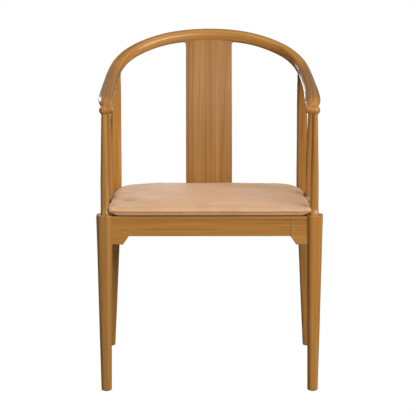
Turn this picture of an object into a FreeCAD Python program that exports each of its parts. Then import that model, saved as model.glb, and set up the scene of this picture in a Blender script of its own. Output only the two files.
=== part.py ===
import FreeCAD, Part
import os, math

os.makedirs("parts", exist_ok=True)
V = FreeCAD.Vector

# ---------------------------------------------------------------------------
# Driving dimensions, mm.  Working frame: X sideways, Y back from the front
# face of the front legs, Z up from the floor.  The whole assembly is moved
# at the end so that the origin is the bottom centre of its bounding box.
# ---------------------------------------------------------------------------
LEG_TOP_Z = 442.6          # ledge on top of the front legs
SEAT_Z = 440.3             # seat plane at the front face of the front rail
SEAT_Y0 = 8.5              # front face of the front rail
SEAT_SLOPE = 2.0           # degrees, seat falls to the back
RAIL_H = 49.8              # height of the seat rails
RAIL_T = 22.0              # thickness of front rail
FIELD_X = 197.5            # half width of the recessed field
FIELD_Z = 432.6            # top of the recessed field
FIELD_D = 1.2              # depth of the recessed field
BR_DROP = 20.8             # bracket drop below the rail
BR_IN = 196.6              # bracket inner tip
BR_FLAT = 210.6            # bracket flat bottom starts here
SIDE_T = 20.0              # side rail thickness
REAR_Y0, REAR_Y1 = 401.0, 421.0
PANEL_T = 6.0
SPLAT_W = 120.0
SPLAT_T = 13.0
SPLAT_Y = 411.0            # splat centre at the rear rail
CREST_UNDER = 803.0        # underside of the crest at the splat
MID_POST_Y = 200.0
LIFT_CLEAR = 0.35          # clearance of the loose cushion
LEATHER = 1.6

# rail of the back and arms: right half, from the centre of the crest to the arm end
#        X      Y      Z      half width  half height
RAIL = [(0.0,   515.0, 818.2, 17.9, 15.9),
        (60.0,  511.5, 815.6, 18.0, 15.8),
        (118.0, 500.5, 807.4, 17.6, 15.4),
        (170.0, 479.5, 792.3, 17.0, 15.3),
        (209.8, 450.0, 773.8, 16.6, 15.0),
        (232.7, 416.0, 755.0, 16.4, 14.7),
        (242.9, 375.0, 741.0, 16.1, 14.4),
        (248.2, 300.0, 731.2, 16.2, 14.0),
        (250.3, 225.0, 725.2, 16.8, 13.6),
        (251.2, 150.0, 720.6, 18.3, 13.0),
        (250.6, 90.0,  715.8, 19.1, 12.4),
        (249.6, 58.0,  711.4, 17.7, 11.6),
        (248.8, 42.0,  707.0, 14.0, 9.8),
        (248.6, 33.0,  702.8, 10.8, 7.6),
        (248.6, 26.0,  699.2, 9.0, 6.2)]
ROLL_Y, ROLL_Z = 25.0, 698.0


def natural_spline(ts, vs):
    n = len(ts)
    h = [ts[i + 1] - ts[i] for i in range(n - 1)]
    a = [0.0] * n
    b = [1.0] * n
    c = [0.0] * n
    r = [0.0] * n
    for i in range(1, n - 1):
        a[i] = h[i - 1]
        b[i] = 2.0 * (h[i - 1] + h[i])
        c[i] = h[i]
        r[i] = 6.0 * ((vs[i + 1] - vs[i]) / h[i] - (vs[i] - vs[i - 1]) / h[i - 1])
    for i in range(1, n):
        m = a[i] / b[i - 1]
        b[i] -= m * c[i - 1]
        r[i] -= m * r[i - 1]
    k = [0.0] * n
    k[-1] = r[-1] / b[-1]
    for i in range(n - 2, -1, -1):
        k[i] = (r[i] - c[i] * k[i + 1]) / b[i]

    def f(t):
        i = 0
        while i < n - 2 and t > ts[i + 1]:
            i += 1
        u = t - ts[i]
        w = ts[i + 1] - t
        return (k[i] * w ** 3 / (6 * h[i]) + k[i + 1] * u ** 3 / (6 * h[i])
                + (vs[i] / h[i] - k[i] * h[i] / 6) * w
                + (vs[i + 1] / h[i] - k[i + 1] * h[i] / 6) * u)
    return f


def ring(c, s, u, a, b, n=2.25, m=20):
    pts = []
    for i in range(m):
        t = 2.0 * math.pi * i / m
        ct, st = math.cos(t), math.sin(t)
        x = math.copysign(abs(ct) ** (2.0 / n), ct) * a
        y = math.copysign(abs(st) ** (2.0 / n), st) * b
        pts.append(c + s * x + u * y)
    e = Part.BSplineCurve()
    e.interpolate(Points=pts, PeriodicFlag=True)
    return Part.Wire([e.toShape()])


def rrect(x0, x1, y0, y1, z, r):
    r = min(r, (x1 - x0) / 2 - 0.3, (y1 - y0) / 2 - 0.3)
    q = r * (1 - math.sqrt(0.5))
    p = [V(x0 + r, y0, z), V(x1 - r, y0, z), V(x1 - q, y0 + q, z), V(x1, y0 + r, z),
         V(x1, y1 - r, z), V(x1 - q, y1 - q, z), V(x1 - r, y1, z), V(x0 + r, y1, z),
         V(x0 + q, y1 - q, z), V(x0, y1 - r, z), V(x0, y0 + r, z), V(x0 + q, y0 + q, z)]
    e = [Part.makeLine(p[0], p[1]), Part.Arc(p[1], p[2], p[3]).toShape(),
         Part.makeLine(p[3], p[4]), Part.Arc(p[4], p[5], p[6]).toShape(),
         Part.makeLine(p[6], p[7]), Part.Arc(p[7], p[8], p[9]).toShape(),
         Part.makeLine(p[9], p[10]), Part.Arc(p[10], p[11], p[0]).toShape()]
    return Part.Wire(e)


def stack(rows, r, deg=3):
    return Part.makeLoft([rrect(a, b, c, d, z, rr) for (z, a, b, c, d, rr) in
                          [(q + (r,) if len(q) == 5 else q) for q in rows]],
                         True, False, False, deg)


def box(x0, x1, y0, y1, z0, z1):
    return Part.makeBox(x1 - x0, y1 - y0, z1 - z0, V(x0, y0, z0))


def prism_xz(pts, y0, y1):
    w = Part.makePolygon([V(x, y0, z) for x, z in pts] + [V(pts[0][0], y0, pts[0][1])])
    return Part.Face(w).extrude(V(0, y1 - y0, 0))


def prism_yz(pts, x0, x1):
    w = Part.makePolygon([V(x0, y, z) for y, z in pts] + [V(x0, pts[0][0], pts[0][1])])
    return Part.Face(w).extrude(V(x1 - x0, 0, 0))


def prism_xy(pts, z0, z1):
    w = Part.makePolygon([V(x, y, z0) for x, y in pts] + [V(pts[0][0], pts[0][1], z0)])
    return Part.Face(w).extrude(V(0, 0, z1 - z0))


def mirror(s):
    return s.mirror(V(0, 0, 0), V(1, 0, 0))


def slope(s):
    s = s.copy()
    s.rotate(V(0, SEAT_Y0, SEAT_Z), V(1, 0, 0), -SEAT_SLOPE)
    return s


def seat_z(y):
    return SEAT_Z - math.tan(math.radians(SEAT_SLOPE)) * (y - SEAT_Y0)


def cyl(p, d, r, h):
    return Part.makeCylinder(r, h, p, d)


def soft(s, test, r):
    """round the edges picked by test"""
    es = [e for e in s.Edges if test(e)]
    if not es:
        return s
    try:
        t = s.makeFillet(r, es)
        if t.isValid() and t.Volume > 0:
            return t
    except Exception:
        pass
    return s


def solid(s):
    s = s.removeSplitter()
    if s.ShapeType != "Solid" and len(s.Solids) == 1:
        s = s.Solids[0]
    return s


def largest(s):
    return sorted(s.Solids, key=lambda q: -q.Volume)[0]


parts = {}

# ---------------------------------------------------------------------------
# back and arm rail
# ---------------------------------------------------------------------------
half = [0.0]
for i in range(1, len(RAIL)):
    p, q = RAIL[i - 1], RAIL[i]
    half.append(half[-1] + math.dist(p[:3], q[:3]))
ts = [-t for t in half[:0:-1]] + half


def sym(k, sign):
    return [sign * r[k] for r in RAIL[:0:-1]] + [r[k] for r in RAIL]


fx, fy, fz = (natural_spline(ts, sym(0, -1)), natural_spline(ts, sym(1, 1)),
              natural_spline(ts, sym(2, 1)))
fa, fb = natural_spline(ts, sym(3, 1)), natural_spline(ts, sym(4, 1))


def at(t):
    return V(fx(t), fy(t), fz(t))


def frame_at(t):
    e = 0.5
    lo, hi = max(t - e, ts[0]), min(t + e, ts[-1])
    d = (at(hi) - at(lo)).normalize()
    s = d.cross(V(0, 0, 1)).normalize()
    return at(t), d, s, s.cross(d)


T_MAIN = half[-4]
T_END = half[-1]


def tube(tl):
    wires = []
    for t in tl:
        c, d, s, u = frame_at(t)
        wires.append(ring(c, s, u, fa(t), fb(t)))
    return Part.makeLoft(wires, True, False, False, 3)


# rolled end under each arm tip
roll = Part.makeSphere(11.0, V(255.3, ROLL_Y, ROLL_Z))
roll = roll.fuse(Part.makeSphere(9.6, V(238.4, ROLL_Y, ROLL_Z)))
roll = solid(roll.fuse(cyl(V(240.0, ROLL_Y, ROLL_Z), V(1, 0, 0), 7.9, 12.0)))

# toothed joints between the crest and the arms
t = 0.0
while fx(t) < 181.0:
    t += 0.5
JT = t
cj, dj, sj, uj = frame_at(JT)
TOOTH_L, TOOTH_P = 32.0, 8.0
LAP = 26.0
teeth = []
k = -3
while k < 3:
    teeth.append((-TOOTH_L / 2, k * TOOTH_P))
    teeth.append((TOOTH_L / 2, (k + 0.5) * TOOTH_P))
    k += 1
teeth.append((-TOOTH_L / 2, 3 * TOOTH_P))


def joint_tool(far):
    """block on one side of the toothed line"""
    pts = teeth + [(far, 3 * TOOTH_P), (far, -3 * TOOTH_P)]
    w = Part.makePolygon([cj + dj * a + uj * b - sj * 45 for a, b in pts + [pts[0]]])
    return Part.Face(w).extrude(sj * 90)


arm_block, crest_block = joint_tool(70.0), joint_tool(-70.0)
n = 24
crest = tube([(JT + LAP) * i / n for i in range(-n, n + 1)])
crest = largest(crest.cut(arm_block).cut(mirror(arm_block)))
n = 54
right_arm = tube([JT - LAP + (T_END - JT + LAP) * i / n for i in range(n + 1)])
right_arm = largest(right_arm.cut(crest_block))
right_arm = solid(right_arm.fuse(roll))

# ---------------------------------------------------------------------------
# legs
# ---------------------------------------------------------------------------
front_leg = stack([(2.0, 241.6, 266.8, 3.0, 28.0, 8.0),
                   (60.0, 241.0, 267.9, 2.6, 29.4, 9.0),
                   (150.0, 240.1, 269.8, 1.9, 31.6, 10.4),
                   (260.0, 238.8, 271.8, 1.1, 34.0, 11.8),
                   (360.0, 237.2, 273.6, 0.4, 36.4, 12.8),
                   (LEG_TOP_Z, 235.9, 275.3, 0.0, 38.0, 13.6)], 6.0)
front_leg = soft(front_leg, lambda e: e.BoundBox.ZMin > LEG_TOP_Z - 0.1, 1.6)
front_leg = soft(front_leg, lambda e: e.BoundBox.ZMax < 2.1, 1.2)
post = stack([(434.0, 242.6, 266.0, 4.6, 36.6, 8.0),
              (442.6, 243.0, 265.0, 5.0, 36.6, 8.0),
              (448.0, 243.3, 264.6, 8.4, 36.4, 8.0),
              (455.0, 243.6, 264.4, 11.0, 36.2, 8.0),
              (468.0, 243.9, 264.4, 12.7, 36.0, 8.0),
              (510.0, 244.5, 264.4, 13.8, 35.6, 8.0),
              (590.0, 245.9, 262.9, 15.6, 34.6, 7.4),
              (680.0, 247.3, 261.0, 17.6, 33.2, 6.4),
              (701.0, 247.6, 260.4, 18.0, 32.8, 6.0)], 6.0)
front_leg = solid(front_leg.fuse(post))
tenon_f = cyl(V(254.0, ROLL_Y, 680.0), V(0, 0, 1), 4.5, 22.0)
front_leg = solid(front_leg.cut(right_arm).fuse(tenon_f))
right_arm = solid(right_arm.cut(tenon_f))

rear_leg = stack([(2.0, 249.4, 271.4, 417.0, 440.0, 4.0),
                  (75.0, 245.6, 269.6, 413.6, 437.8, 4.2),
                  (150.0, 241.8, 267.4, 410.0, 435.6, 4.5),
                  (300.0, 234.2, 262.2, 402.6, 430.8, 4.5),
                  (380.0, 230.3, 258.6, 398.6, 427.8, 4.5),
                  (427.0, 228.8, 256.8, 396.4, 425.8, 4.5),
                  (480.0, 228.2, 255.8, 394.6, 423.0, 5.0),
                  (600.0, 227.9, 254.2, 391.4, 417.6, 6.0),
                  (700.0, 227.6, 253.2, 388.8, 413.4, 6.5),
                  (756.0, 227.4, 252.8, 387.4, 411.4, 6.5)], 5.0)
rear_leg = soft(rear_leg, lambda e: e.BoundBox.ZMax < 2.1, 1.2)
tenon_r = cyl(V(239.6, 400.4, 715.0), V(0, 0, 1), 5.5, 38.0)
rear_leg = solid(rear_leg.cut(right_arm).fuse(tenon_r))
if len(rear_leg.Solids) > 1:
    rear_leg = sorted(rear_leg.Solids, key=lambda s: -s.Volume)[0]
right_arm = solid(right_arm.cut(tenon_r))

# ---------------------------------------------------------------------------
# seat rails and brackets
# ---------------------------------------------------------------------------
above = prism_yz([(-60, seat_z(-60)), (700, seat_z(700)), (700, 900), (-60, 900)], -400, 400)

front_rail = box(-240, 240, SEAT_Y0, SEAT_Y0 + RAIL_T, SEAT_Z - RAIL_H, SEAT_Z + 4)
front_rail = front_rail.cut(box(-FIELD_X, FIELD_X, SEAT_Y0 - 5, SEAT_Y0 + FIELD_D,
                                SEAT_Z - RAIL_H - 5, FIELD_Z))
front_rail = soft(front_rail, lambda e: (e.BoundBox.ZMax < SEAT_Z - RAIL_H + 0.1
                                         and abs(e.BoundBox.YMin - SEAT_Y0 - FIELD_D) < 0.05
                                         and e.BoundBox.YLength < 0.1 and e.BoundBox.XLength > 100), 1.6)
front_rail = front_rail.cut(above)
tenon_fr = box(236, 256, 11, 21, SEAT_Z - RAIL_H + 7, SEAT_Z - 9)
front_rail = solid(front_rail.cut(front_leg).cut(mirror(front_leg)).fuse(tenon_fr).fuse(mirror(tenon_fr)))
front_leg = front_leg.cut(tenon_fr)

brk = [(245.0, SEAT_Z - RAIL_H), (BR_IN, SEAT_Z - RAIL_H), (BR_FLAT, SEAT_Z - RAIL_H - BR_DROP),
       (245.0, SEAT_Z - RAIL_H - BR_DROP)]
front_bracket = prism_xz(brk, SEAT_Y0, SEAT_Y0 + RAIL_T - 2)
front_bracket = soft(front_bracket, lambda e: e.BoundBox.YLength < 0.1 and e.BoundBox.YMin < SEAT_Y0 + 0.1
                     and e.BoundBox.ZMin < SEAT_Z - RAIL_H - 1 and e.BoundBox.XMin < 240, 1.8)
front_bracket = solid(front_bracket.cut(front_leg))

# side rail in its own frame: along +Y from the leg, outer face at +X
PLAN = math.degrees(math.atan2(11.5, 358.0))


def side_place(s):
    s = s.copy()
    s.rotate(V(0, 38, 0), V(0, 0, 1), PLAN)
    s.translate(V(255.0, 0, 0))
    return slope(s)


side_rail = box(-SIDE_T / 2, SIDE_T / 2, 34, 398.5, SEAT_Z - RAIL_H + 1.5, SEAT_Z)
side_rail = soft(side_rail, lambda e: e.BoundBox.YLength > 300, 1.5)
tenon_sf = box(-5, 5, 24, 40, SEAT_Z - RAIL_H + 9, SEAT_Z - 10)
tenon_sb = box(-4.5, 4.5, 392, 408, SEAT_Z - RAIL_H + 9, SEAT_Z - 10)
tenon_sf, tenon_sb = side_place(tenon_sf), side_place(tenon_sb)
side_rail = side_place(side_rail).cut(front_leg).cut(rear_leg)
side_rail = sorted(side_rail.Solids, key=lambda s: -s.Volume)[0]
side_rail = solid(side_rail.fuse(tenon_sf).fuse(tenon_sb))
front_leg = front_leg.cut(tenon_sf)
rear_leg = rear_leg.cut(tenon_sb)

zb = SEAT_Z - RAIL_H + 1.5
sb = [(33.0, zb), (77.0, zb), (63.0, zb - BR_DROP + 1), (33.0, zb - BR_DROP + 1)]
side_front_bracket = prism_yz(sb, -SIDE_T / 2, SIDE_T / 2 - 1)
side_front_bracket = soft(side_front_bracket, lambda e: e.BoundBox.XLength < 0.1
                          and e.BoundBox.XMin > 5 and e.BoundBox.ZMin < zb - 1 and e.BoundBox.YMax > 40, 1.6)
side_front_bracket = side_place(side_front_bracket).cut(front_leg)
sb = [(404.0, zb), (356.0, zb), (370.0, zb - BR_DROP + 1), (404.0, zb - BR_DROP + 1)]
side_rear_bracket = prism_yz(sb, -SIDE_T / 2, SIDE_T / 2 - 1)
side_rear_bracket = soft(side_rear_bracket, lambda e: e.BoundBox.XLength < 0.1
                         and e.BoundBox.XMin > 5 and e.BoundBox.ZMin < zb - 1 and e.BoundBox.YMin < 390, 1.6)
side_rear_bracket = side_place(side_rear_bracket).cut(rear_leg)
side_rear_bracket = sorted(side_rear_bracket.Solids, key=lambda s: -s.Volume)[0]

RZ = seat_z(REAR_Y0)
rear_rail = box(-236, 236, REAR_Y0, REAR_Y1, RZ - 46, RZ + 10).cut(above)
rear_rail = rear_rail.cut(rear_leg).cut(mirror(rear_leg))
rear_rail = sorted(rear_rail.Solids, key=lambda s: -s.Volume)[0]
rear_rail = soft(rear_rail, lambda e: e.BoundBox.XLength > 300 and e.BoundBox.YMin > REAR_Y1 - 0.1, 1.5)
tenon_rr = box(228, 246, 407, 417, RZ - 38, RZ - 11)
# the side rail tenon passes the front part of the leg, the rear rail tenon stays clear behind it
tenon_rr = tenon_rr.cut(side_rail)
rear_rail = solid(rear_rail.fuse(tenon_rr).fuse(mirror(tenon_rr)))
rear_leg = rear_leg.cut(tenon_rr)

rb = [(245.0, RZ - 46), (190.0, RZ - 46), (204.0, RZ - 46 - 20), (245.0, RZ - 46 - 20)]
rear_bracket = prism_xz(rb, REAR_Y0 + 1, REAR_Y1)
rear_bracket = soft(rear_bracket, lambda e: e.BoundBox.YLength < 0.1 and e.BoundBox.YMin > REAR_Y1 - 0.1
                    and e.BoundBox.ZMin < RZ - 47 and e.BoundBox.XMin < 235, 1.6)
rear_bracket = rear_bracket.cut(rear_leg)
rear_bracket = sorted(rear_bracket.Solids, key=lambda s: -s.Volume)[0]

# ---------------------------------------------------------------------------
# side posts
# ---------------------------------------------------------------------------
mp = [(426.0, 241.0, 259.0), (450.0, 241.0, 259.0), (510.0, 241.5, 259.2),
      (600.0, 243.9, 259.8), (680.0, 246.4, 260.4), (722.0, 247.4, 260.4)]
wires = []
for z, x0, x1 in mp:
    hy = 9.4 - (z - 426.0) / 296.0 * 2.4
    wires.append(ring(V((x0 + x1) / 2, MID_POST_Y, z), V(1, 0, 0), V(0, 1, 0),
                      (x1 - x0) / 2, hy, 2.4, 16))
mid_post = Part.makeLoft(wires, True, False, False, 3)
mid_post = mid_post.cut(right_arm)
mid_post = sorted(mid_post.Solids, key=lambda s: -s.Volume)[0]
below = prism_yz([(-60, seat_z(-60)), (700, seat_z(700)), (700, 300), (-60, 300)], -400, 400)
mid_post = mid_post.cut(below)
tenon_mb = cyl(V(250.0, MID_POST_Y, seat_z(MID_POST_Y) - 22.0), V(0, 0, 1), 5.0, 40.0)
tenon_mt = cyl(V(253.8, MID_POST_Y, 700.0), V(0, 0, 1), 4.2, 25.0)
mid_post = solid(mid_post.fuse(tenon_mb).fuse(tenon_mt))
side_rail = side_rail.cut(tenon_mb)
right_arm = solid(right_arm.cut(tenon_mt))

# ---------------------------------------------------------------------------
# back splat
# ---------------------------------------------------------------------------
Z0S, Z1S = seat_z(SPLAT_Y), 806.0
KS = (508.0 - SPLAT_Y - 0.10 * (Z1S - Z0S)) / (Z1S - Z0S) ** 2


def splat_y(z):
    h = z - Z0S
    return SPLAT_Y + 0.10 * h + KS * h * h if h > 0 else SPLAT_Y + 0.10 * h


def slab(th, z0, z1, x):
    fr, bk = [], []
    n = 12
    for i in range(n + 1):
        z = z0 + (z1 - z0) * i / n
        g = 0.10 + 2 * KS * max(z - Z0S, 0.0)
        m = math.sqrt(1 + g * g)
        fr.append(V(-x, splat_y(z) - th / 2 / m, z + th / 2 * g / m))
        bk.append(V(-x, splat_y(z) + th / 2 / m, z - th / 2 * g / m))
    a = Part.BSplineCurve()
    a.interpolate(fr)
    b = Part.BSplineCurve()
    b.interpolate(bk)
    wr = Part.Wire([a.toShape(), Part.makeLine(fr[-1], bk[-1]),
                    b.toShape(), Part.makeLine(bk[0], fr[0])])
    return Part.Face(wr).extrude(V(2 * x, 0, 0))


hw = SPLAT_W / 2
fr = 11.0
o = [V(-hw, 300, 380), V(hw, 300, 380)]
out = [Part.makeLine(V(-hw, 300, 380), V(hw, 300, 380)),
       Part.makeLine(V(hw, 300, 380), V(hw, 300, CREST_UNDER - fr)),
       Part.Arc(V(hw, 300, CREST_UNDER - fr), V(hw + fr * (1 - math.sqrt(0.5)), 300, CREST_UNDER - fr * (1 - math.sqrt(0.5))),
                V(hw + fr, 300, CREST_UNDER)).toShape(),
       Part.makeLine(V(hw + fr, 300, CREST_UNDER), V(hw + fr, 300, CREST_UNDER + 30)),
       Part.makeLine(V(hw + fr, 300, CREST_UNDER + 30), V(-hw - fr, 300, CREST_UNDER + 30)),
       Part.makeLine(V(-hw - fr, 300, CREST_UNDER + 30), V(-hw - fr, 300, CREST_UNDER)),
       Part.Arc(V(-hw - fr, 300, CREST_UNDER), V(-hw - fr * (1 - math.sqrt(0.5)), 300, CREST_UNDER - fr * (1 - math.sqrt(0.5))),
                V(-hw, 300, CREST_UNDER - fr)).toShape(),
       Part.makeLine(V(-hw, 300, CREST_UNDER - fr), V(-hw, 300, 380))]
outline = Part.Face(Part.Wire(out)).extrude(V(0, 400, 0))
splat = slab(SPLAT_T, Z0S - 8, 814.0, 90).common(outline)
splat = soft(splat, lambda e: abs(abs(e.CenterOfMass.x) - hw) < 0.1 and e.BoundBox.ZLength > 200
             and e.BoundBox.XLength < 0.1, 2.0)
splat = splat.cut(crest)
splat = sorted(splat.Solids, key=lambda s: -s.Volume)[0]
splat = splat.cut(below)
tongue_t = slab(7.0, 796.0, 812.0, 50)
tongue_b = box(-52, 52, SPLAT_Y - 4, SPLAT_Y + 4, Z0S - 18, Z0S + 6)
splat = solid(splat.fuse(tongue_t).fuse(tongue_b))
crest = solid(crest.cut(tongue_t))
rear_rail = solid(rear_rail.cut(tongue_b))

# ---------------------------------------------------------------------------
# seat panel, corner blocks and screws
# ---------------------------------------------------------------------------


def side_x(y):
    """inner face of the side rail"""
    return 255.0 - math.tan(math.radians(PLAN)) * (y - 38.0) - SIDE_T / 2


YF, YR = SEAT_Y0 + RAIL_T - 9, REAR_Y0 + 8
panel = prism_xy([(-side_x(YF) - 4, YF), (side_x(YF) + 4, YF), (side_x(YR) + 4, YR),
                  (-side_x(YR) - 4, YR)], SEAT_Z - PANEL_T, SEAT_Z)
panel = panel.cut(box(-SPLAT_W / 2 - 1, SPLAT_W / 2 + 1, REAR_Y0, 460, 300, 500))
for sx in (-1, 1):
    panel = panel.cut(box(min(sx * 232, sx * 300), max(sx * 232, sx * 300), -10, 42, 300, 500))
    panel = panel.cut(box(min(sx * 224, sx * 300), max(sx * 224, sx * 300), 389, 500, 300, 500))
panel = slope(panel)
front_rail = solid(front_rail.cut(panel))
rear_rail = solid(rear_rail.cut(panel))
side_rail = solid(side_rail.cut(panel))

bz0, bz1 = SEAT_Z - PANEL_T - 26.0, SEAT_Z - PANEL_T
fi = SEAT_Y0 + RAIL_T
block_f = slope(prism_xy([(246, fi - 2), (246, 92), (238, 92), (176, fi + 7), (176, fi - 2)], bz0, bz1))
block_f = block_f.cut(front_rail).cut(side_rail).cut(front_leg)
block_f = sorted(block_f.Solids, key=lambda s: -s.Volume)[0]
ri = REAR_Y0
block_r = slope(prism_xy([(236, ri + 2), (236, 338), (228, 338), (166, ri - 7), (166, ri + 2)], bz0, bz1))
block_r = block_r.cut(rear_rail).cut(side_rail).cut(rear_leg)
block_r = sorted(block_r.Solids, key=lambda s: -s.Volume)[0]


def screw(p, d, rs, ls, rh, lh):
    """pan head outside the entry point p, shank along d"""
    s = cyl(p, d, rs, ls).fuse(cyl(p - d * lh, d, rh, lh))
    t = Part.makeCone(rs, 0.4, rs * 1.6, p + d * ls, d)
    return solid(s.fuse(t))


zm = (bz0 + bz1) / 2
df = V(58.0, -62.0, 0).normalize()
screw_f = slope(screw(V(207.0, 63.0, zm), df, 2.4, 50.0, 5.0, 3.0))
dr = V(56.0, 62.0, 0).normalize()
screw_r = slope(screw(V(197.0, 366.0, zm), dr, 2.4, 54.0, 5.0, 3.0))


def csk(x, y):
    s = cyl(V(x, y, SEAT_Z - 18.0), V(0, 0, 1), 1.8, 17.0)
    s = s.fuse(Part.makeCone(1.8, 4.0, 2.6, V(x, y, SEAT_Z - 2.6), V(0, 0, 1)))
    return slope(solid(s))


ps = [csk(214, 42), csk(204, 384), csk(-214, 42), csk(-204, 384)]
csr = [screw_f, screw_r, mirror(screw_f), mirror(screw_r)]

# screw heads sit on the diagonal faces of the blocks, shanks run into rails and legs
block_f = block_f.cut(screw_f)
block_r = block_r.cut(screw_r)
front_rail = front_rail.cut(screw_f).cut(mirror(screw_f))
side_rail = side_rail.cut(screw_f).cut(screw_r)
front_leg = front_leg.cut(screw_f)
rear_leg = rear_leg.cut(screw_r)
rear_rail = rear_rail.cut(screw_r).cut(mirror(screw_r))
for s in ps:
    panel = panel.cut(s)
block_f = block_f.cut(ps[0])
block_r = block_r.cut(ps[1])

# ---------------------------------------------------------------------------
# glides
# ---------------------------------------------------------------------------
gl = []
for x, y in ((254.1, 15.5), (260.4, 428.5)):
    g = cyl(V(x, y, 0), V(0, 0, 1), 9.0, 2.0).fuse(cyl(V(x, y, 0), V(0, 0, 1), 3.0, 12.0))
    g = solid(g)
    gl.append(g)
front_leg = front_leg.cut(gl[0])
rear_leg = rear_leg.cut(gl[1])
gl = gl + [mirror(g) for g in gl]

# ---------------------------------------------------------------------------
# cushion: outline in the seat plane, stacked outlines up its thickness
# ---------------------------------------------------------------------------
OUT = [(0.0, 1.6), (110.0, 1.5), (196.0, 1.8), (227.0, 3.2), (239.0, 9.0), (242.2, 24.0),
       (242.5, 60.0), (242.0, 110.0), (240.2, 160.0), (239.6, 200.0), (239.3, 240.0), (237.6, 290.0),
       (233.0, 330.0), (222.0, 362.0), (202.0, 381.0), (172.0, 389.4), (100.0, 392.6)]


def outline_at(inset, z):
    """closed outline moved in by inset; the corners tighten with it"""
    pts = []
    ring_pts = OUT + [(0.0, 393.0)] + [(-x, y) for x, y in OUT[:0:-1]]
    cy = 197.0
    for x, y in ring_pts:
        kx = 1.0 - inset / 243.0
        ky = 1.0 - inset / 196.0
        pts.append(V(x * kx, cy + (y - cy) * ky, z))
    e = Part.BSplineCurve()
    e.interpolate(Points=pts, PeriodicFlag=True)
    return Part.Wire([e.toShape()])


def cushion(rows):
    return Part.makeLoft([outline_at(i, z) for z, i in rows], True, True)


S = SEAT_Z


def dome(i):
    """height of the top above the seat plane, i in from the widest outline"""
    return 12.2 + 8.7 * (1.0 - math.exp(-i / 5.0)) + 11.4 * (1.0 - (1.0 - i / 190.0) ** 2)


TOP_IN = [0.0, 0.5, 1.4, 3.0, 5.5, 9.0, 14.0, 22.0, 34.0, 52.0, 76.0, 108.0, 150.0]
LOW = [(0.0, 14.0), (1.2, 8.5), (3.0, 4.8), (5.6, 2.0), (10.0, 0.0)]
rows = [(S + z, i) for z, i in LOW] + [(S + dome(i), i) for i in TOP_IN]
outer = cushion(rows)
G = LEATHER
rows = [(S + G, 14.0 + G * 0.6), (S + 3.0 + G * 0.6, 4.8 + G), (S + 6.2, 2.0 + G), (S + 10.0, G)]
rows += [(S + dome(i) - G * (0.2 if i < 1 else 0.75 if i < 4 else 1.05), i + G * (1.0 if i < 1 else 0.9 if i < 4 else 0.5))
         for i in TOP_IN]
core = cushion(rows)
outer, core = slope(outer), slope(core)
for sx in (-1, 1):
    # step over the leg top, round the foot of the front post and past the side post
    outer = outer.cut(box(min(sx * 235.4, sx * 300), max(sx * 235.4, sx * 300), -20, 38.5, 300, LEG_TOP_Z + LIFT_CLEAR))
    core = core.cut(box(min(sx * 233.6, sx * 300), max(sx * 233.6, sx * 300), -20, 40.2, 300, LEG_TOP_Z + LIFT_CLEAR + LEATHER))
outer = sorted(outer.Solids, key=lambda s: -s.Volume)[0]
core = sorted(core.Solids, key=lambda s: -s.Volume)[0]
cover = outer.cut(core)
print('cushion', outer.isValid(), core.isValid(), [round(q.Volume) for q in cover.Solids], 'left out of the cover', round(core.cut(outer).Volume, 3))

# leather loop round the side post, its ends meet the cushion edge
sz0 = seat_z(MID_POST_Y) + 6.0
sz1 = sz0 + 13.0
lx0, lx1, ly0, ly1 = 232.0, 262.6, MID_POST_Y - 12.6, MID_POST_Y + 12.6
loop_o = Part.Face(rrect(lx0 - 14, lx1, ly0, ly1, sz0, 11.0)).extrude(V(0, 0, sz1 - sz0))
loop_i = Part.Face(rrect(lx0 - 20, lx1 - LEATHER, ly0 + LEATHER, ly1 - LEATHER, sz0 - 1, 9.6)).extrude(V(0, 0, sz1 - sz0 + 2))
strap = largest(loop_o.cut(loop_i).cut(outer))
flap = box(240.6, 251.0, ly1, ly1 + LEATHER, sz0 + 1, sz1 - 1)
strap = largest(strap.fuse(flap))
stud_p = V(245.4, ly1 + LEATHER, (sz0 + sz1) / 2)
stud = cyl(stud_p, V(0, 1, 0), 4.2, 1.2)
stud = soft(stud, lambda e: e.BoundBox.YMin > stud_p.y + 1.1, 0.9)

# ---------------------------------------------------------------------------
# collect
# ---------------------------------------------------------------------------
parts["crest_rail"] = crest
parts["right_arm"] = right_arm
parts["left_arm"] = mirror(right_arm)
parts["back_splat"] = splat
parts["right_front_leg"] = front_leg
parts["left_front_leg"] = mirror(front_leg)
parts["right_rear_leg"] = rear_leg
parts["left_rear_leg"] = mirror(rear_leg)
parts["right_mid_post"] = mid_post
parts["left_mid_post"] = mirror(mid_post)
parts["front_rail"] = front_rail
parts["rear_rail"] = rear_rail
parts["right_side_rail"] = side_rail
parts["left_side_rail"] = mirror(side_rail)
parts["right_front_bracket"] = front_bracket
parts["left_front_bracket"] = mirror(front_bracket)
parts["right_side_front_bracket"] = side_front_bracket
parts["left_side_front_bracket"] = mirror(side_front_bracket)
parts["right_side_rear_bracket"] = side_rear_bracket
parts["left_side_rear_bracket"] = mirror(side_rear_bracket)
parts["right_rear_bracket"] = rear_bracket
parts["left_rear_bracket"] = mirror(rear_bracket)
parts["seat_panel"] = panel
parts["right_front_block"] = block_f
parts["left_front_block"] = mirror(block_f)
parts["right_rear_block"] = block_r
parts["left_rear_block"] = mirror(block_r)
parts["block_screws"] = Part.makeCompound(csr)
parts["panel_screws"] = Part.makeCompound(ps)
parts["foot_glides"] = Part.makeCompound(gl)
parts["cushion_cover"] = cover
parts["cushion_core"] = core
parts["right_strap"] = strap
parts["left_strap"] = mirror(strap)
parts["strap_studs"] = Part.makeCompound([stud, mirror(stud)])

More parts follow.
